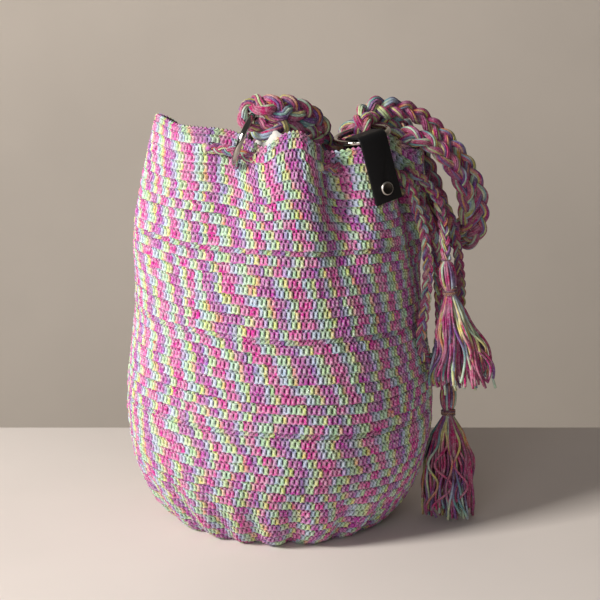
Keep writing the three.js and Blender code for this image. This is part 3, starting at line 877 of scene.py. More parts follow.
@dataclass
class CrochetBody:
    """Bag body worked in rounds of double crochet, with a few rounds of single crochet."""

    wall: Wall
    yarn: DyedCotton
    stitches: int = 204
    # Places across a stitch, from its gap over its post.
    across: tuple[float, ...] = (0.0, 0.2, 0.52, 0.84)
    double_height: float = 8.0
    single_height: float = 4.2
    single_rounds: tuple[float, ...] = (98, 173, 244)
    relief: float = 2.2
    sunk: float = 1.7
    lean: float = 0.16
    tilt: float = 6.0
    slant: float = 0.2
    bands: int = 5
    base_round: float = 7.6
    base_stitch: float = 3.9
    # The base: fewest stitches in a round, hole in its middle, spread of the dye, how the creases fade inwards.
    base_fewest: int = 7
    base_hole: float = 0.4
    base_drift: float = 1.2
    base_fade: int = 4
    # Spread of the hand: in the relief, in the place of a stitch along its round and, within a limit, up the bag.
    uneven: float = 0.16
    shift: float = 0.08
    jog: float = 0.3
    jog_limit: float = 0.5
    # Waves of a round up and down the bag: size, number in a round, and the run in which they drift by a radian.
    waves: Bumps = ((0.9, 3, 40), (0.6, 7, -25))
    # How fast the rounds come level towards the base and the rim.
    levelling: float = 5
    # The hand's wandering tension: its size in stitches of dye, and its reach in stitches and in rounds.
    wander: float = 1.3
    wander_reach: tuple[int, int] = (23, 7)
    # Dye from round to round, in stitches: mean and spread of the drift, a jump at a quarter of the rounds.
    drift: tuple[float, float] = (0.3, 1.1)
    jump: float = 2.6
    # Spread of the dye's start in a round and in a stitch.
    scatter: tuple[float, float] = (0.6, 0.2)
    # Dye that a stitch takes across itself, and between its post and its chain.
    dye_across: float = 0.3
    dye_up: float = 0.2
    # Where in the height of a stitch its yarn turns into the chain, and the length of that turn.
    chain_turn: tuple[float, float] = (0.64, 0.12)
    # The rim: relief of its last row and of its lip, height of the lip, rounds that show their inner face.
    rim_relief: tuple[float, ...] = (0.5, 0.7, 0.8, 0.7)
    lip_relief: tuple[float, ...] = (0.3, 0.8, 1.0, 0.8)
    lip_height: tuple[float, ...] = (-0.9, 0.8, 1.8, 0.8)
    inner_rounds: int = 4
    # The inner face: mean relief and how much of it shows, and the rows of its plain part.
    inner_relief: float = 0.6
    inner_share: float = 0.6
    inner_rows: int = 5
    passing: list[tuple[np.ndarray, float]] = field(default_factory=list)

    @property
    def ends(self) -> np.ndarray:
        """Where each place across a stitch ends."""
        return np.array([*self.across[1:], 1.0])

    def rounds(self) -> list[tuple[float, float, Stitch]]:
        """Lists the rounds from the base to the rim.

        Returns:
            Start and end along the outline, and the kind of each round.
        """
        wished: list[tuple[float, Stitch]] = []
        run = 0.0
        left = [float(np.interp(h, self.wall.heights, self.wall.run)) for h in self.single_rounds]
        while run < self.wall.length - self.single_height:
            if left and run >= left[0]:
                left.pop(0)
                kind, height = Stitch.SINGLE, self.single_height
            else:
                kind, height = Stitch.DOUBLE, self.double_height
            wished.append((height, kind))
            run += height
        wished.append((self.single_height, Stitch.SINGLE))
        scale = self.wall.length / sum(height for height, _ in wished)
        made = []
        run = 0.0
        for height, kind in wished:
            made.append((run, run + height * scale, kind))
            run += height * scale
        return made

    def build(self) -> list[Object]:
        """Builds the side in bands of rounds, and the base.

        Returns:
            The pieces, from the bottom up.
        """
        rng = np.random.default_rng(SEED)
        material = self.yarn.crocheted()
        rounds = self.rounds()
        dye = self.dye_places(len(rounds), rng)
        cuts = np.linspace(0, len(rounds), self.bands + 1).round().astype(int)
        made = [self.base(material, rng)]
        for number, (first, last) in enumerate(zip(cuts, cuts[1:])):
            made.append(self.band(number, rounds, int(first), int(last), dye, material, rng))
        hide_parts("crochet_body")
        return made

    def dye_places(self, count: int, rng: np.random.Generator) -> np.ndarray:
        """Finds where each stitch lies in the dye beyond its own number.

        A round takes nearly a whole number of runs of the dye, so its colours stack into streaks. The hand's
        tension wanders slowly, which leans the streaks one way here and the other way there.

        Args:
            count: Number of rounds.
            rng: Source of the hand's unevenness.

        Returns:
            Places in stitches, one row for each round.
        """
        along, up = self.wander_reach
        wander = rng.normal(size=(count + up - 3, 3 * self.stitches))
        wander[:, self.stitches :] = np.tile(wander[:, : self.stitches], 2)
        wander = np.stack([np.convolve(row, np.hanning(along), mode="same") for row in wander])
        wander = wander[:, self.stitches : 2 * self.stitches]
        wander = np.stack([np.convolve(column, np.hanning(up)[1:-1], mode="valid") for column in wander.T], 1)
        drift = np.cumsum(rng.normal(*self.drift, count) + rng.choice([0.0, 0.0, 0.0, self.jump], count))
        drift += rng.normal(0.0, self.scatter[0], count)
        wander = self.wander * wander / wander.std()
        return drift[:, None] + wander + rng.normal(0.0, self.scatter[1], wander.shape)

    def band(
        self,
        number: int,
        rounds: list[tuple[float, float, Stitch]],
        first: int,
        last: int,
        dye: np.ndarray,
        material: Material,
        rng: np.random.Generator,
    ) -> Object:
        """Builds one closed band of rounds, with its plain inner face.

        Args:
            number: Number of the band, from the bottom.
            rounds: All the rounds.
            first: First round of the band.
            last: Round after the last one.
            dye: Where each stitch of each round lies in the dye beyond its number, in stitches.
            material: Crocheted yarn.
            rng: Source of the hand's unevenness.

        Returns:
            The band.
        """
        per = len(self.across)
        columns = self.stitches * per
        wall = self.wall
        top = last == len(rounds)
        rows: list[Row] = []
        for index in range(first, last):
            start, end, kind = rounds[index]
            uneven = 1 + self.uneven * np.repeat(rng.normal(size=self.stitches), per)
            for up, shape in kind.value:
                relief = np.tile(shape, self.stitches)
                out = self.relief * relief * uneven - self.sunk
                rows.append((out, start + up * (end - start), relief, index, up))
        edge = np.tile(self.rim_relief if top else Stitch.DOUBLE.value[0][1], self.stitches)
        inner_top = rounds[last - 1][1]
        rows.append((self.relief * edge - self.sunk, inner_top, edge, last - 1, 1.0))
        lip = len(rows)
        if top:
            rows += self.inside_rim(rounds)
            inner_top = rows[-1][1] - 0.5
        plain = np.full(columns, self.inner_relief)
        for run in np.linspace(inner_top, rounds[first][0], self.inner_rows):
            rows.append((np.full(columns, -wall.thickness), float(run), plain, first, 0.0))
        shifts = rng.normal(0.0, self.shift, (len(rounds), self.stitches))
        jogs = np.clip(rng.normal(0.0, self.jog, (len(rounds), self.stitches)), -self.jog_limit, self.jog_limit)
        stitch = np.arange(self.stitches)[:, None] + np.array(self.across)
        points = []
        for out, run, _, owner, up in rows:
            progress = run / wall.length
            leaning = self.lean * min(up, 1.0)
            place = (stitch + shifts[owner][:, None]).ravel() + leaning - self.slant * progress * len(rounds)
            azimuth = 360 * place / self.stitches
            fade = ease(self.levelling * progress) * ease(self.levelling * (1 - progress))
            a = np.radians(azimuth)
            wavy = sum(size * np.sin(count * a + run / drift) for size, count, drift in self.waves)
            shifted = run + fade * (wavy - self.tilt * np.sin(a) + np.repeat(jogs[owner], per))
            points.append(wall.at(azimuth, shifted, out))
        if top:
            points[lip][:, 2] += np.tile(self.lip_height, self.stitches)
        verts = np.concatenate(points)
        if number >= self.bands - 2:
            verts = eased_aside(verts, self.passing)
        quads, _, _ = grid_quads(len(rows), columns, closed=True)
        layers = self.coordinates(rows, dye)
        return add_piece(f"crochet_rounds_{number + 1}", verts, [quads], material, Body.BAG, layers)

    def inside_rim(self, rounds: list[tuple[float, float, Stitch]]) -> list[Row]:
        """Lists the rows over the lip and down the inner face of the top rounds, which the mouth shows.

        Args:
            rounds: All the rounds.

        Returns:
            The rows, from the lip down.
        """
        thick = self.wall.thickness
        last = len(rounds) - 1
        lip = np.tile(self.lip_relief, self.stitches)
        rows: list[Row] = [(np.full(len(lip), -0.5 * thick), self.wall.length, lip, last, 1.5)]
        for index in range(last, last - self.inner_rounds, -1):
            start, end, kind = rounds[index]
            for up, shape in reversed(kind.value[:: 2 if kind is Stitch.DOUBLE else 1]):
                relief = np.tile(shape, self.stitches)
                out = -thick - self.inner_share * self.relief * (relief - self.inner_relief)
                rows.append((out, start + up * (end - start), relief, index, up))
        return rows

    def coordinates(self, rows: list[Row], dye: np.ndarray) -> dict[str, list[np.ndarray]]:
        """Finds the coordinates of a band's quads in the yarn and in the stitches.

        Args:
            rows: Rows of the band.
            dye: Where each stitch of each round lies in the dye.

        Returns:
            Place in the dye with the height of the relief, which the material turns into painted shade, and place
            across and up the stitch.
        """
        _, _, lights, owners, heights = zip(*rows)
        ups = np.array(heights)
        # The yarn of a stitch climbs its post and then lies in the chain above it.
        turn, length = self.chain_turn
        chain = self.dye_up * ease((ups - turn) / length)
        begin = (dye[list(owners)] + chain[:, None] + np.arange(self.stitches))[:, :, None]
        near, far = (
            (begin + self.dye_across * side).reshape(len(rows), -1) / self.yarn.stitches
            for side in (np.array(self.across), self.ends)
        )
        light = np.stack(lights)
        above = np.roll(light, -1, 0)
        beside, across = np.roll(light, -1, 1), np.roll(above, -1, 1)
        yarn = corner_pairs((near, light), (far, beside), (far, across), (near, above))
        low = ups[:, None]
        high = np.where(np.roll(low, -1, 0) > low, np.roll(low, -1, 0), 1.0)
        left, right = (np.tile(side, self.stitches)[None] for side in (self.across, self.ends))
        stitch = corner_pairs((left, low), (right, low), (right, high), (left, high))
        return {"yarn": [yarn], "stitch": [stitch]}

    def base(self, material: Material, rng: np.random.Generator) -> Object:
        """Builds the round base, worked from its middle in growing rounds.

        Args:
            material: Crocheted yarn.
            rng: Source of the hand's unevenness.

        Returns:
            The base.
        """
        count = round(self.wall.base_radius / self.base_round)
        width = self.wall.base_radius / count
        rows = (*Stitch.DOUBLE.value[::2], (1.0, Stitch.DOUBLE.value[0][1]))
        ups = np.array([up for up, _ in rows])
        points, quads, uvs, spots = [], [], [], []
        total, place = 0, 0.0
        for index in range(count):
            inner, outer = index * width, (index + 1) * width
            stitches = max(self.base_fewest, round(2 * math.pi * (inner + 0.6 * width) / self.base_stitch))
            columns = stitches * len(self.across)
            across = (np.arange(stitches)[:, None] + np.array(self.across)).ravel()
            azimuth = 360 * across / stitches
            light = np.stack([np.tile(shape, stitches) for _, shape in rows])
            for up, row in zip(ups, light):
                radius = max(self.base_hole, inner + up * (outer - inner))
                # The creases of the wall draw in the edge of the base.
                share = (radius / self.wall.base_radius) ** self.base_fade
                drawn_in = share * self.wall.push(azimuth, np.zeros(columns))
                points.append(polar(azimuth, radius + drawn_in, self.relief * (1 - row)))
            cells, i, j = grid_quads(len(ups), columns, turned=True)
            quads.append(total + cells)
            u = (place + np.append(across, stitches)) / self.yarn.stitches
            k, n = (j + 1) % columns, i + 1
            low, high = u[j], u[j + 1]
            uvs.append(corner_pairs((low, light[i, j]), (low, light[n, j]), (high, light[n, k]), (high, light[i, k])))
            left, right = np.tile(self.across, stitches)[j], np.tile(self.ends, stitches)[j]
            spots.append(corner_pairs((left, ups[i]), (left, ups[n]), (right, ups[n]), (right, ups[i])))
            total += len(ups) * columns
            place += stitches + rng.normal(0, self.base_drift)
        return add_piece(
            "crochet_base",
            np.concatenate(points),
            [np.concatenate(quads)],
            material,
            Body.BAG,
            {"yarn": [np.concatenate(uvs)], "stitch": [np.concatenate(spots)]},
        )


@dataclass
class Lining:
    """Cotton lining sewn in below the rim, loose in the neck folds."""

    wall: Wall
    cloth: PlainCotton
    drop: float = 10
    gap: float = 0.4
    thickness: float = 1.2
    floor_gap: float = 0.4
    # Where the side begins, along the outline, and how far within it the floor ends.
    foot: float = 16
    floor_inset: float = 7
    columns: int = 240
    rows: int = 44
    floor_rings: tuple[float, ...] = (0.005, 0.25, 0.5, 0.75, 0.92, 1.0)
    # Small puffs of the slack cloth: their number and their size.
    puffs: int = 23
    puff: float = 0.7
    # How the puffs slant, in radians up each millimetre, and how far the slack cloth stands off the wall.
    puff_slant: float = 0.05
    slack: float = 0.35
    # Where a slack fold of the cloth rises in the dip of the rim: azimuth, half width in degrees, lift.
    slack_fold: Bumps = ((-11, 4, 14), (-3, 4.5, 18), (3.5, 2.5, 7))
    # Height that the slack fold takes, and how far it leans inwards.
    fold_height: float = 40
    fold_lean: float = 0.12
    passing: list[tuple[np.ndarray, float]] = field(default_factory=list)

    def build(self) -> Object:
        """Builds the cloth with both faces.

        Returns:
            The lining.
        """
        wall = self.wall
        turn = 360 * np.arange(self.columns) / self.columns
        top = wall.length - self.drop
        inset = wall.thickness + self.gap
        floor = wall.thickness + self.floor_gap
        edge = wall.at(turn, np.full(self.columns, self.foot), np.full(self.columns, -inset))
        reach = float(np.hypot(edge[:, 0], edge[:, 1]).min()) - self.floor_inset
        lines, around = [], []
        for face, depth in ((1, self.thickness), (-1, 0.0)):
            part = [(polar(turn, reach * share, floor + depth), reach * share) for share in self.floor_rings]
            for run in np.linspace(self.foot, top, self.rows):
                wave = np.sin(np.radians(turn) * self.puffs + self.puff_slant * run)
                puff = self.puff * wave * math.sin(math.pi * run / top)
                off = inset + depth + self.slack + self.slack * puff
                cloth = wall.at(turn, np.full(self.columns, run), -off)
                rise = ease((run - top + self.fold_height) / self.fold_height) * wall.bumps(self.slack_fold, turn)
                part.append((cloth + polar(turn, -self.fold_lean * rise, rise), reach + run))
            part = part if face == 1 else part[::-1]
            lines += [p for p, _ in part]
            around += [r for _, r in part]
        verts = eased_aside(np.concatenate(lines), self.passing)
        quads, i, j = grid_quads(len(lines), self.columns, turned=True)
        width = 2 * math.pi * wall.waist_radius
        u = width * np.arange(self.columns + 1) / self.columns
        v = np.array(around)
        uv = corner_pairs((u[j], v[i]), (u[j], v[i + 1]), (u[j + 1], v[i + 1]), (u[j + 1], v[i]))
        loop = np.arange(self.columns)
        ends = np.stack([loop, (len(lines) - 1) * self.columns + loop[::-1]])
        end_uv = np.zeros((2, self.columns, 2))
        made = add_piece(
            "cotton_lining",
            verts,
            [quads, ends],
            self.cloth.material(),
            Body.BAG,
            {"yarn": [uv, end_uv]},
        )
        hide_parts("lining")
        return made


@dataclass
class Ring:
    """Ring of nickel-plated wire with the seam where its ends were welded."""

    name: str
    joint: str
    body: Body
    plate: Material
    radius: float = 21.5
    wire: float = 5.0
    # Azimuth of the weld, then the swelling and length of its bead and the depth, length and place of its grooves.
    seam: float = 0.0
    bead: tuple[float, float] = (0.05, 1.1)
    groove: Point = (0.03, 0.7, 2.2)
    steps: int = 128
    sides: int = 28

    def frame(self) -> tuple[np.ndarray, np.ndarray, np.ndarray, np.ndarray]:
        """Takes the ring's place from its joint.

        Returns:
            The centre, the axis and the two directions across the ring.
        """
        joint = next(j for j in frame["joints"] if j["name"] == self.joint)
        centre = np.array(joint["pos_m"], float) / MM
        axis = np.array(joint["axis"], float)
        axis /= np.linalg.norm(axis)
        one = np.cross(axis, [0.0, 0.0, 1.0])
        one /= np.linalg.norm(one)
        return centre, axis, one, np.cross(axis, one)

    def line(self) -> np.ndarray:
        """Runs once round the middle of the wire.

        Returns:
            Points along the wire.
        """
        centre, _, one, two = self.frame()
        a = np.linspace(0, 2 * np.pi, 90)[:, None]
        return centre + self.radius * (np.cos(a) * one + np.sin(a) * two)

    def build(self) -> Object:
        """Builds the wire, a little thicker at its seam.

        Returns:
            The ring.
        """
        centre, axis, one, two = self.frame()
        a = 2 * np.pi * np.arange(self.steps) / self.steps
        b = 2 * np.pi * np.arange(self.sides) / self.sides
        off = np.abs((a - self.seam + np.pi) % (2 * np.pi) - np.pi) * self.radius
        swelling, length = self.bead
        bead = swelling * np.exp(-((off / length) ** 2))
        depth, length, place = self.groove
        groove = depth * np.exp(-(((off - place) / length) ** 2))
        thick = 0.5 * self.wire * (1 + bead - groove)
        spoke = np.cos(a)[:, None] * one + np.sin(a)[:, None] * two
        ring = spoke[:, None] * np.cos(b)[None, :, None] + axis * np.sin(b)[None, :, None]
        verts = centre + self.radius * spoke[:, None] + thick[:, None, None] * ring
        quads, _, _ = grid_quads(self.steps, self.sides, closed=True, turned=True)
        made = add_piece(f"{self.name}_wire", verts.reshape(-1, 3), [quads], self.plate, self.body)
        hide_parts(self.name)
        return made


@dataclass
class RivetedTab:
    """Leather tab folded over the rim and round the right ring, with its rivet."""

    leather: BlackLeather
    plate: Material
    reflection_plate: Material
    rounding: float = 0.55
    rivet_rounding: float = 0.22
    dish_radius: float = 4.3
    head: float = 2.0
    # Vertices this close are one. Angles in degrees: of facets that lie flat, of edges to round and of shading.
    weld: float = 0.01
    flat_angle: float = 2
    sharp_angle: float = 35
    shading_angle: float = 50

    def rounded_copy(self, node: str, name: str, material: Material, width: float) -> Object:
        """Copies a solid and rounds its sharp edges.

        Args:
            node: Solid that the piece stands for.
            name: Name of the piece.
            material: Material of the piece.
            width: Width of the rounding.

        Returns:
            The piece.
        """
        shape = bmesh.new()
        shape.from_mesh(frame["nodes"][node].data)
        bmesh.ops.remove_doubles(shape, verts=shape.verts, dist=self.weld * MM)
        flat = math.radians(self.flat_angle)
        bmesh.ops.dissolve_limit(shape, angle_limit=flat, verts=shape.verts, edges=shape.edges)
        limit = math.radians(self.sharp_angle)
        sharp = [e for e in shape.edges if e.is_manifold and e.calc_face_angle(0) > limit]
        bmesh.ops.bevel(shape, geom=sharp, offset=width * MM, segments=3, profile=0.5, affect="EDGES")
        mesh = bpy.data.meshes.new(name)
        shape.to_mesh(mesh)
        shape.free()
        mesh.shade_smooth()
        mesh.set_sharp_from_angle(angle=math.radians(self.shading_angle))
        made = place_piece(mesh, material, Body.BAG)
        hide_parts(node)
        return made

    def build(self) -> list[Object]:
        """Builds the tab, the rivet's cap and the washer inside.

        Returns:
            The three pieces.
        """
        cap = self.rounded_copy("rivet_cap", "dished_rivet", self.plate, self.rivet_rounding)
        self.paint_dish_reflection(cap)
        return [
            self.rounded_copy("tab", "leather_tab", self.leather.material(), self.rounding),
            cap,
            self.rounded_copy("rivet_washer", "rivet_back", self.plate, self.rivet_rounding),
        ]

    def paint_dish_reflection(self, cap: Object) -> None:
        """Paints the hollow of the rivet's head dark: a painted reflection of the dark room that the polished dish
        would mirror.

        Args:
            cap: Rivet with its post, which is longer than its head is wide.
        """
        points = np.array([v.co for v in frame["nodes"]["rivet_cap"].data.vertices]) / MM
        middle = points.mean(0)
        axis = np.linalg.svd(points - middle)[2][0]
        axis = -axis if axis[1] > 0 else axis
        front = ((points - middle) @ axis).max()
        cap.data.materials.append(self.reflection_plate)
        for face in cap.data.polygons:
            off = np.array(face.center) / MM - middle
            along = off @ axis
            if along > front - self.head and np.linalg.norm(off - along * axis) < self.dish_radius:
                face.material_index = 1


@dataclass
class Braid:
    """Three-strand flat braid, each strand a small bundle of yarns."""

    name: str
    node: str
    route: np.ndarray
    width: float
    pitch: float
    yarns: int
    yarn_radius: float
    bundle_radius: float
    yarn: DyedCotton
    material: Material
    step: float = 1.5
    # The flat side faces outwards up to this far from the axis, and the front beyond a fade.
    neck: float = 118
    neck_fade: float = 14
    front: Point = (0.2, -0.9, 0.4)
    # Distance from a wire within which the flat side faces off it, and the length that evens out its turns.
    grip: float = 10.5
    evening: float = 13
    # How far the strands rise over each other, in their radii, and how flat a strand lies.
    crossing: float = 0.62
    flatness: float = 0.85
    # Length in which the yarns of a strand wind once round it, and how fast they run through their dye.
    winding: float = 46
    stretch: float = 2.4
    # Wires that the braid is folded over, and the length on each side that a fold takes.
    wires: list[np.ndarray] = field(default_factory=list)
    fold_length: float = 46
    # How much wider the braid is where its fold is sewn, its power in the thickness, and the distances from the wire.
    sewn: float = 0.3
    sewn_power: float = 1.8
    sewn_span: tuple[float, ...] = (7, 16, 26, 52)
    # How far each length of a fold is pressed towards the other, and the distances from the wire.
    press: float = 0.15
    press_span: tuple[float, ...] = (8.5, 12.5, 24, 34)

    def middle(self) -> np.ndarray:
        """Middle line of the braid."""
        return evenly(catmull_rom(self.route, 12), self.step)

    def facing(self, line: np.ndarray) -> np.ndarray:
        """Direction that the flat side faces: outwards in the neck, to the front elsewhere, off a wire at a fold.

        Args:
            line: Points along the braid.

        Returns:
            One direction for each point.
        """
        out = line * [1.0, 1.0, 0.0]
        far = np.linalg.norm(out, axis=1)[:, None]
        hangs = ease((far - self.neck + self.neck_fade) / self.neck_fade)
        face = out / far * (1 - hangs) + np.array(self.front) * hangs
        for wire in self.wires:
            gap = line[:, None] - wire[None]
            away = np.linalg.norm(gap, axis=2)
            nearest = away.argmin(1)
            row = np.arange(len(line))
            close = (away[row, nearest] < self.grip)[:, None]
            face = np.where(close, gap[row, nearest] / away[row, nearest][:, None], face)
        return face

    def sides(self, line: np.ndarray) -> tuple[np.ndarray, np.ndarray]:
        """Directions across the braid and out of its flat side.

        Args:
            line: Points along the braid.

        Returns:
            The two directions at each point.
        """
        one, two = carried_frame(line, np.array(BRAID_SIDE))
        face = self.facing(line)
        angle = np.arctan2((face * two).sum(1), (face * one).sum(1)) - np.pi / 2
        angle = np.unwrap(angle, period=np.pi)
        reach = max(3, round(self.evening / self.step))
        kernel = np.hanning(2 * reach + 3)[1:-1]
        padded = np.pad(angle, reach, mode="edge")
        angle = np.convolve(padded, kernel / kernel.sum(), mode="valid")[:, None]
        return np.cos(angle) * one + np.sin(angle) * two, np.cos(angle) * two - np.sin(angle) * one

    def pressed(self, line: np.ndarray) -> np.ndarray:
        """Presses the two lengths of each sewn fold together, just beyond the wire.

        Args:
            line: Points along the braid.

        Returns:
            The moved points.
        """
        moved = line.copy()
        for wire in self.wires:
            away = np.linalg.norm(line[:, None] - wire[None], axis=2).min(1)
            fold = int(away.argmin())
            reach = int(self.fold_length / self.step)
            before = np.arange(max(fold - reach, 0), fold)
            lengths = before, np.arange(fold + 1, min(fold + reach, len(line)))
            for own, other in (lengths, lengths[::-1]):
                gap = line[other][None] - line[own][:, None]
                nearest = np.linalg.norm(gap, axis=2).argmin(1)
                share = self.press * hump(away[own], self.press_span)
                moved[own] += share[:, None] * gap[np.arange(len(own)), nearest]
        return moved

    def build(self) -> Object:
        """Lays the yarns of all three strands along the route.

        Returns:
            The braid.
        """
        rng = np.random.default_rng(SEED + len(self.name))
        line = self.middle()
        run = run_along(line)
        one, two = self.sides(line)
        size = np.ones(len(line))
        for wire in self.wires:
            away = np.linalg.norm(line[:, None] - wire[None], axis=2).min(1)
            size += self.sewn * hump(away, self.sewn_span)
        line = self.pressed(line)
        outer = self.bundle_radius + self.yarn_radius
        reach = size * (0.5 * self.width - outer)
        lift = size**self.sewn_power * self.crossing * outer
        bundle = YarnBundle(self.yarn.cycle, sides=5)
        for strand in range(3):
            a = 2 * np.pi * (run / self.pitch + strand / 3)
            core = line + (reach * np.sin(a))[:, None] * one + (lift * np.sin(2 * a))[:, None] * two
            left, right = carried_frame(core, np.array(BRAID_SIDE))
            turn = 2 * np.pi * rng.random()
            for index in range(self.yarns):
                b = turn + 2 * np.pi * (index / self.yarns + run / self.winding)
                ring = np.cos(b)[:, None] * left + self.flatness * np.sin(b)[:, None] * right
                laid = core + (size * self.bundle_radius)[:, None] * ring
                bundle.lay(laid, size * self.yarn_radius, float(rng.random()), self.stretch)
        made = bundle.piece(self.name, self.material, Body.BAG, Slot.BRAID)
        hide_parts(self.node)
        return made


# Flare of a tassel whose skirt is full at the top and drawn in again at its cut.
BARREL = (0.5, 0.85, 1.5, 2.05, 2.15, 1.95)


@dataclass
class Tassel:
    """Tassel of folded yarn: looped head, wound binding and a skirt of cut ends."""

    name: str
    top: np.ndarray
    skirt: float
    spread: tuple[float, float]
    lean: float
    pitch: float
    yarn: DyedCotton
    material: Material
    thread: DyedCotton
    thread_material: Material
    head_width: float = 15
    head_length: float = 23
    binding_length: float = 6
    neck_width: float = 9.6
    yarn_radius: float = 1.1
    thread_radius: float = 0.82
    binding_turns: float = 3.4
    # How fast the yarns run through their dye.
    stretch: float = 2.2
    shell: int = 16
    strands: int = 110
    locks: int = 17
    # Down the head, as shares of its length: radii as shares of its width, above that of the neck.
    head_marks: tuple[float, ...] = (0, 0.05, 0.28, 0.55, 0.84, 1.0)
    head_radii: tuple[float, ...] = (0.1, 0.3, 0.46, 0.5, 0.44)
    # Down the skirt, as shares of its length: radii as shares of the neck's width.
    flare_marks: tuple[float, ...] = (0, 0.06, 0.18, 0.4, 0.7, 1.0)
    flare: tuple[float, ...] = (0.5, 0.72, 1.12, 1.5, 1.8, 2.0)
    # Length of the cut ends as a share of the skirt: mean, spread, least and most.
    cut: float = 0.97
    cut_spread: float = 0.05
    cut_range: tuple[float, float] = (0.7, 1.04)
    # Sways of a lock: mean, least and most of their size, least and most of their waves, how soon they begin.
    lock_sway: Point = (2.3, 0.8, 6)
    lock_waves: tuple[float, float] = (0.7, 2.2)
    lock_curl: float = 1.6
    # How a yarn strays: in the width of its lock, in its angle and in the size of its sways.
    lock_width: float = 1.3
    stray_angle: float = 0.08
    stray_sway: float = 0.25
    # Points along a yarn that is looped over the head and along one that begins in the binding.
    looped_points: int = 40
    loose_points: int = 28
    # Where the looped yarns begin below the top, how far within the head the loose ones begin, and how far the
    # binding stands off the neck and within its ends.
    loop_top: float = 0.4
    tucked: float = 2
    wound_off: float = 0.75
    wound_in: float = 0.7
    seed: int = 1

    def placed(self, local: np.ndarray) -> np.ndarray:
        """Leans points sideways and forwards and moves them to the tassel's top.

        Args:
            local: Points below an upright tassel's top.

        Returns:
            The points where the tassel hangs.
        """
        tip = Matrix.Rotation(-math.radians(self.pitch), 3, "X")
        turn = np.array(tip @ Matrix.Rotation(-math.radians(self.lean), 3, "Y"))
        return local @ turn.T + self.top

    def profile(self, down: np.ndarray) -> np.ndarray:
        """Finds the radius of the tassel before its skirt spreads.

        Args:
            down: Distances below its top.

        Returns:
            The radius at each distance.
        """
        waist = self.head_length + self.binding_length
        radii = np.array([*self.head_radii, 0.5 * self.neck_width / self.head_width])
        head = np.interp(down / self.head_length, self.head_marks, radii * self.head_width)
        low = np.clip((down - waist) / self.skirt, 0, 1)
        flare = np.interp(low, self.flare_marks, self.flare)
        return np.where(down < self.head_length, head, self.neck_width * flare)

    def build(self) -> tuple[Object, Object]:
        """Builds the yarns of head and skirt, and the binding round the neck.

        Returns:
            The yarns and the binding.
        """
        rng = np.random.default_rng(SEED + self.seed)
        waist = self.head_length + self.binding_length
        bundle = YarnBundle(self.yarn.cycle, sides=5)
        # Loose ends cling together in locks: the size, speed and start of two sways of each lock.
        pairs = (self.locks, 2)
        mean, least, most = self.lock_sway
        sizes = rng.exponential(mean, pairs).clip(least, most)
        sways = np.column_stack([sizes, rng.uniform(*self.lock_waves, pairs)])
        starts = rng.random(pairs)
        for index in range(self.shell + self.strands):
            looped = index < self.shell
            lock = int(rng.integers(self.locks))
            side = index / self.shell if looped else (lock + self.lock_width * rng.random()) / self.locks
            angle = 2 * math.pi * side + rng.normal(0, self.stray_angle)
            depth = 1.0 if looped else math.sqrt(rng.random())
            length = waist + self.skirt * float(np.clip(rng.normal(self.cut, self.cut_spread), *self.cut_range))
            if looped:
                down = np.linspace(self.loop_top, length, self.looped_points)
            else:
                down = np.linspace(self.head_length - self.tucked, length, self.loose_points)
            low = np.clip((down - waist) / self.skirt, 0, 1)
            radius = np.maximum(depth * (self.profile(down) - self.yarn_radius), 0.2)
            wide = 1 + low * (self.spread[0] / (2 * self.neck_width) - 1)
            deep = 1 + low * (self.spread[1] / (2 * self.neck_width) - 1)
            curl = ease(self.lock_curl * low)
            stray = 1 + rng.normal(0, self.stray_sway, 2)
            sway, bend = (
                sways[lock, i] * stray[i] * curl * np.sin(2 * np.pi * (low * sways[lock, 2 + i] + starts[lock, i]))
                for i in (0, 1)
            )
            local = np.stack(
                [
                    radius * wide * math.sin(angle) + sway,
                    -radius * deep * math.cos(angle) + bend,
                    -down,
                ],
                axis=1,
            )
            laid = self.placed(local)
            laid[:, 2] = np.maximum(laid[:, 2], self.yarn_radius)
            bundle.lay(laid, self.yarn_radius, float(rng.random()), self.stretch)
        yarns = bundle.piece(f"{self.name}_yarns", self.material, Body.BAG, Slot.TASSEL)
        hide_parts(self.name)
        a = np.linspace(0, 2 * math.pi * self.binding_turns, 150)
        wound = YarnBundle(self.thread.cycle, sides=6)
        around = 0.5 * self.neck_width + self.wound_off
        down = self.head_length + self.wound_in + (self.binding_length - 2 * self.wound_in) * a / a[-1]
        helix = np.stack([around * np.sin(a), -around * np.cos(a), -down], axis=1)
        wound.lay(self.placed(helix), self.thread_radius, 0.2, 1.0)
        binding = wound.piece(f"{self.name}_wrap", self.thread_material, Body.BAG, Slot.BINDING)
        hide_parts(f"{self.name}_binding")
        return yarns, binding


SHORT_TAIL: tuple[Point, ...] = (
    (135.4, -55, 233), (135, -51, 246), (133, -44, 264), (128.5, -36, 281),
    (119, -28.5, 294),
)
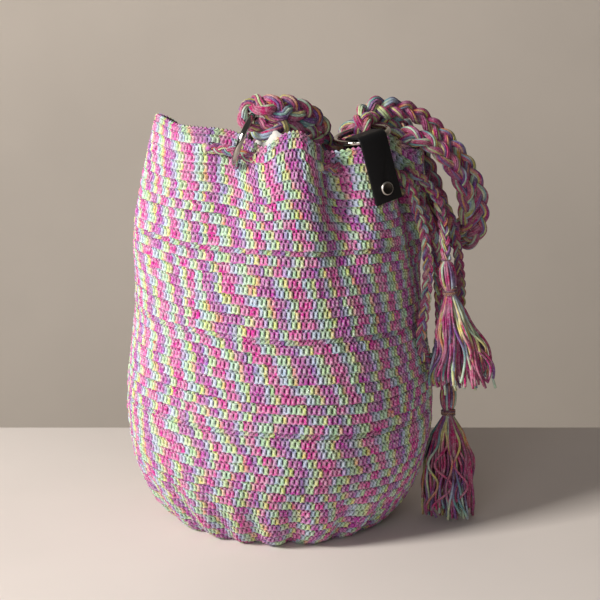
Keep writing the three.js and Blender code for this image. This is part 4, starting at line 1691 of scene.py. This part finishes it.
# Azimuth, distance from the axis and height.
NECK_ROUTE: tuple[Point, ...] = (
    (77.5, 111, 301), (83, 104, 304), (93, 102.5, 306), (105, 97.5, 307.9),
    (118, 95, 307), (136, 93.8, 301.8), (154, 93.3, 298), (172, 93, 300.4),
    (190, 92.8, 300.3), (207, 93, 300.8), (222, 93.6, 299.4), (240, 92, 298.6),
    (262, 94.5, 315.2), (282, 98, 324.3), (302, 95.5, 326), (320, 94.5, 327.5),
    (336, 93.5, 326.5), (349, 94, 321), (364, 93, 317), (376, 91, 314),
    (388, 89.5, 312), (396, 86, 312), (403, 75, 312), (412, 70.5, 312),
    (421, 73, 311), (426.5, 84, 309),
)
LONG_TAIL: tuple[Point, ...] = (
    (90, -40.5, 306), (101, -46, 299), (109.7, -50, 279), (117.3, -52.5, 254),
    (120.8, -54, 231), (119, -57, 195), (116, -57.5, 171), (118, -54.5, 155),
    (124, -46, 147.5), (130.5, -38.5, 150), (133.5, -36, 164), (132, -37.5, 205),
    (127.5, -40, 244), (119, -37, 271), (108.5, -33.5, 285), (96, -29, 291),
    (90, -18, 292), (99, -9.5, 291), (113, -8.5, 288), (127, -11, 284),
    (136, -13, 274), (144.5, -16, 256), (150, -18, 225), (152.5, -17, 190),
    (150, -12, 150), (146, -6, 125), (145, -5, 116.5),
)
STRAP_ROUTE: tuple[Point, ...] = (
    (32, -58, 333.5), (14, -74, 338), (-1, -83, 341), (-13.7, -86.5, 342.9),
    (-24.9, -82, 347.2), (-28.9, -80.2, 355.6), (-23.3, -82.2, 363.3), (-12, -86, 364.5),
    (2, -81, 361), (18, -68, 354), (31, -52, 341), (43, -36, 323),
    (68, -19, 320.3), (88, -9, 325), (104, -9, 329), (117, -11.5, 327),
    (130, -9, 319.5), (140, -7.5, 309), (149.5, -5, 295), (156, -1, 279),
    (158, 4, 258), (154, 13, 247), (147, 23, 248), (141.5, 30, 258),
    (131, 35.5, 288), (123, 35.5, 307), (113, 34, 325), (102, 32, 335),
    (86, 28, 335), (70, 25.5, 330), (60, 26.5, 327.5), (56, 32.5, 327),
    (60.5, 38.5, 329), (72, 40.5, 333.5), (88, 44, 336), (101, 47.5, 334),
    (111, 49, 325), (119, 50, 308), (126, 49.5, 289), (135, 44, 260),
    (143, 36, 243), (154, 24, 234), (165, 12, 239), (169.5, 6, 254),
    (169, 5, 275), (160, 8, 298), (146, 9, 318), (131, 8, 333),
    (117, 4, 344), (103, -1, 350.5), (89, -7, 352), (76, -13, 352),
    (68.5, -21, 349), (67.2, -30.6, 346.6), (66.5, -38, 342.8), (67.4, -39.6, 336.7),
    (69, -36.5, 331.4), (70.7, -28.5, 330.3), (73, -17, 332.6), (82, -5, 337.2),
    (93, 2.5, 340.5), (101, 6.5, 339),
)


@dataclass
class Studio:
    """Pale table before a limewashed wall, window light from the left and the camera at the photograph's angle."""

    distance: float = 1350
    height: float = 490
    pitch: float = 12.63
    view: float = 21.0
    shift: float = 20 / 600
    floor: str = "#E4DCD6"
    wall: str = "#DCD2C7"
    table_behind: float = 235
    table_edge: float = 30
    wall_behind: float = 1600
    # Name, place and side in metres, power in watts and colour.
    lamps: tuple[tuple[str, Point, float, float, str], ...] = (
        ("window_light", (-1.6, -1.06, 1.25), 0.5, 61.0, "#FFFBF5"),
        ("room_fill", (-0.7, -2.4, 0.85), 1.1, 13.0, "#FBFAFF"),
    )
    room: str = "#F3F1EE"
    room_light: float = 0.1
    # Where the lamps look and half the width of table and wall, in metres.
    middle: Point = (0, 0, 0.17)
    half_width: float = 5.0

    def build(self) -> None:
        """Builds camera, table, wall, lamps and world light."""
        scene = bpy.context.scene
        scene.view_settings.view_transform = "Standard"
        lens = bpy.data.cameras.new("photo_view")
        lens.sensor_width = 36.0
        lens.angle = math.radians(self.view)
        lens.shift_x = self.shift
        camera = bpy.data.objects.new("photo_view", lens)
        camera.location = (0, -self.distance * MM, self.height * MM)
        camera.rotation_euler = Euler((math.radians(90 - self.pitch), 0, 0))
        scene.collection.objects.link(camera)
        scene.camera = camera
        edge, turn = self.table_behind * MM, self.table_edge * MM
        bend = np.linspace(0, math.pi / 2, 12)
        top = [(edge + turn * math.sin(b), turn * (math.cos(b) - 1)) for b in bend]
        self.backdrop("pale_table", self.floor, [(-4.0, 0.0), *top, (edge + turn, -1.0)])
        self.backdrop("limewashed_wall", self.wall, [(self.wall_behind * MM, -2.0), (self.wall_behind * MM, 4.0)])
        for lamp in self.lamps:
            self.lamp(*lamp)
        world = bpy.data.worlds.new("pale_room")
        world.use_nodes = True
        world.node_tree.nodes["Background"].inputs["Color"].default_value = linear(self.room)
        world.node_tree.nodes["Background"].inputs["Strength"].default_value = self.room_light
        scene.world = world

    def lamp(self, name: str, place: Point, size: float, power: float, colour: str) -> None:
        """Adds a soft square lamp that looks at the middle of the bag.

        Args:
            name: Name of the lamp.
            place: Where it hangs, in metres.
            size: Side of the square, in metres.
            power: Power in watts.
            colour: Colour of its light.
        """
        light = bpy.data.lights.new(name, "AREA")
        light.shape = "SQUARE"
        light.size = size
        light.energy = power
        light.color = linear(colour)[:3]
        lamp = bpy.data.objects.new(name, light)
        lamp.location = place
        lamp.rotation_euler = (Vector(self.middle) - Vector(place)).to_track_quat("-Z", "Y").to_euler()
        bpy.context.scene.collection.objects.link(lamp)

    def backdrop(self, name: str, colour: str, profile: list[tuple[float, float]]) -> None:
        """Adds a wide plain surface behind or below the bag.

        Args:
            name: Name of the surface.
            colour: Its colour.
            profile: Depth and height of its outline, in metres.
        """
        made, tree, shader = new_material(f"{name}_paint")
        spot = add_node(tree, "TexCoord", {})
        cloud = add_node(tree, "TexNoise", {"Vector": spot.outputs["Object"], "Scale": 3.0, "Detail": 4.0})
        uneven = add_node(tree, "MapRange", {0: cloud, 1: 0.3, 2: 0.7, 3: 0.95, 4: 1.03})
        shade = add_node(tree, "HueSaturation", {"Color": linear(colour), "Value": uneven})
        tree.links.new(shade.outputs[0], shader.inputs["Base Color"])
        shader.inputs["Roughness"].default_value = 0.95
        shader.inputs["Specular IOR Level"].default_value = 0.1
        mesh = bpy.data.meshes.new(name)
        verts = [(x, y, z) for y, z in profile for x in (-self.half_width, self.half_width)]
        faces = [(2 * i, 2 * i + 1, 2 * i + 3, 2 * i + 2) for i in range(len(profile) - 1)]
        mesh.from_pydata(verts, [], faces)
        mesh.shade_smooth()
        mesh.materials.append(made)
        surface = bpy.data.objects.new(name, mesh)
        bpy.context.scene.collection.objects.link(surface)


def main() -> None:
    """Builds the bag piece by piece."""
    logging.basicConfig(level=logging.INFO, format="%(name)s: %(message)s")
    Studio().build()
    yarn = DyedCotton()
    thread = DyedCotton(dye=((1.0, "#8C4A44"), (0.6, "#7A4A5E"), (0.8, "#A06C48"), (0.6, "#74586C")))
    # A yarn that lies free shows its dye at full strength; its deeper darks and paler lights are also painted shade
    # and painted highlights on the braids and tassels.
    free = DyedCotton(
        dye=(
            (2.6, "#CE4A80"),
            (0.7, "#8C58A6"),
            (0.5, "#78B0B4"),
            (0.7, "#CCEACC"),
            (0.5, "#D6CE70"),
            (0.6, "#E8986C"),
            (2.4, "#BA4884"),
            (0.6, "#704684"),
            (0.5, "#B4C8E2"),
            (0.6, "#D2E6AC"),
            (0.6, "#F0E08C"),
        )
    )
    braided = free.laid("dyed_cotton_braided")
    loose = free.laid("dyed_cotton_loose")
    wound = thread.laid("dyed_cotton_wound")
    ring_plate = NickelPlate().material("polished_nickel_ring")
    rivet_plate = NickelPlate("#DAD6CF", "#B4AEA6", roughness=0.36).material("pressed_nickel_rivet")
    # Painted reflection: the rivet's dish is coloured dark grey for the dark room that its polished hollow mirrors.
    dish_reflection_plate = NickelPlate("#5A544E", "#2E2A27", roughness=0.3).material("nickel_dish_painted_reflection")

    rings = [
        Ring("left_ring", "left_ring_turn", Body.LEFT_RING, ring_plate, seam=1.1),
        Ring("right_ring", "right_ring_turn", Body.RIGHT_RING, ring_plate, seam=2.4),
    ]
    wires = [ring.line() for ring in rings]
    neck = np.array(NECK_ROUTE)
    drawstring_route = np.vstack([SHORT_TAIL, polar(neck[:, 0], neck[:, 1], neck[:, 2]), LONG_TAIL])
    drawstring = Braid(
        "braided_drawstring",
        "drawstring",
        drawstring_route,
        width=9.6,
        pitch=24.0,
        yarns=5,
        yarn_radius=0.78,
        bundle_radius=1.28,
        yarn=yarn,
        material=braided,
        step=1.8,
    )
    strap = Braid(
        "braided_strap",
        "shoulder_strap",
        np.array(STRAP_ROUTE),
        width=16.4,
        pitch=43.0,
        yarns=8,
        yarn_radius=0.98,
        bundle_radius=2.3,
        yarn=yarn,
        material=braided,
        step=2.0,
        neck=14,
        wires=wires,
    )
    cord_piece = drawstring.build()
    strap_piece = strap.build()

    below = np.array([0.0, 0.0, -0.4])
    made_of = {"yarn": yarn, "material": loose, "thread": thread, "thread_material": wound}
    upper = Tassel(
        "upper_tassel",
        drawstring_route[0] + below,
        skirt=82,
        spread=(29, 15),
        lean=8.5,
        pitch=0,
        cut=0.88,
        seed=1,
        **made_of,
    )
    lower = Tassel(
        "lower_tassel",
        drawstring_route[-1] + below,
        skirt=84,
        spread=(23, 20),
        lean=0,
        pitch=10,
        flare=BARREL,
        seed=2,
        **made_of,
    )
    tassel_pieces = [piece for tassel in (upper, lower) for piece in tassel.build()]

    for ring in rings:
        ring.build()

    # The cloth keeps these distances from the middle of what passes through it.
    passing = [(drawstring.middle(), 4.9), (wires[0], 3.0)]
    wall = Wall()
    CrochetBody(wall, yarn, passing=passing).build()
    Lining(wall, PlainCotton(), passing=passing).build()
    RivetedTab(BlackLeather(), rivet_plate, dish_reflection_plate).build()

    for braid, piece, end, pieces in (
        (drawstring, cord_piece, "knot", tassel_pieces),
        (strap, strap_piece, "object", []),
    ):
        line = braid.pressed(braid.middle()) * MM


if __name__ == "__main__":
    main()
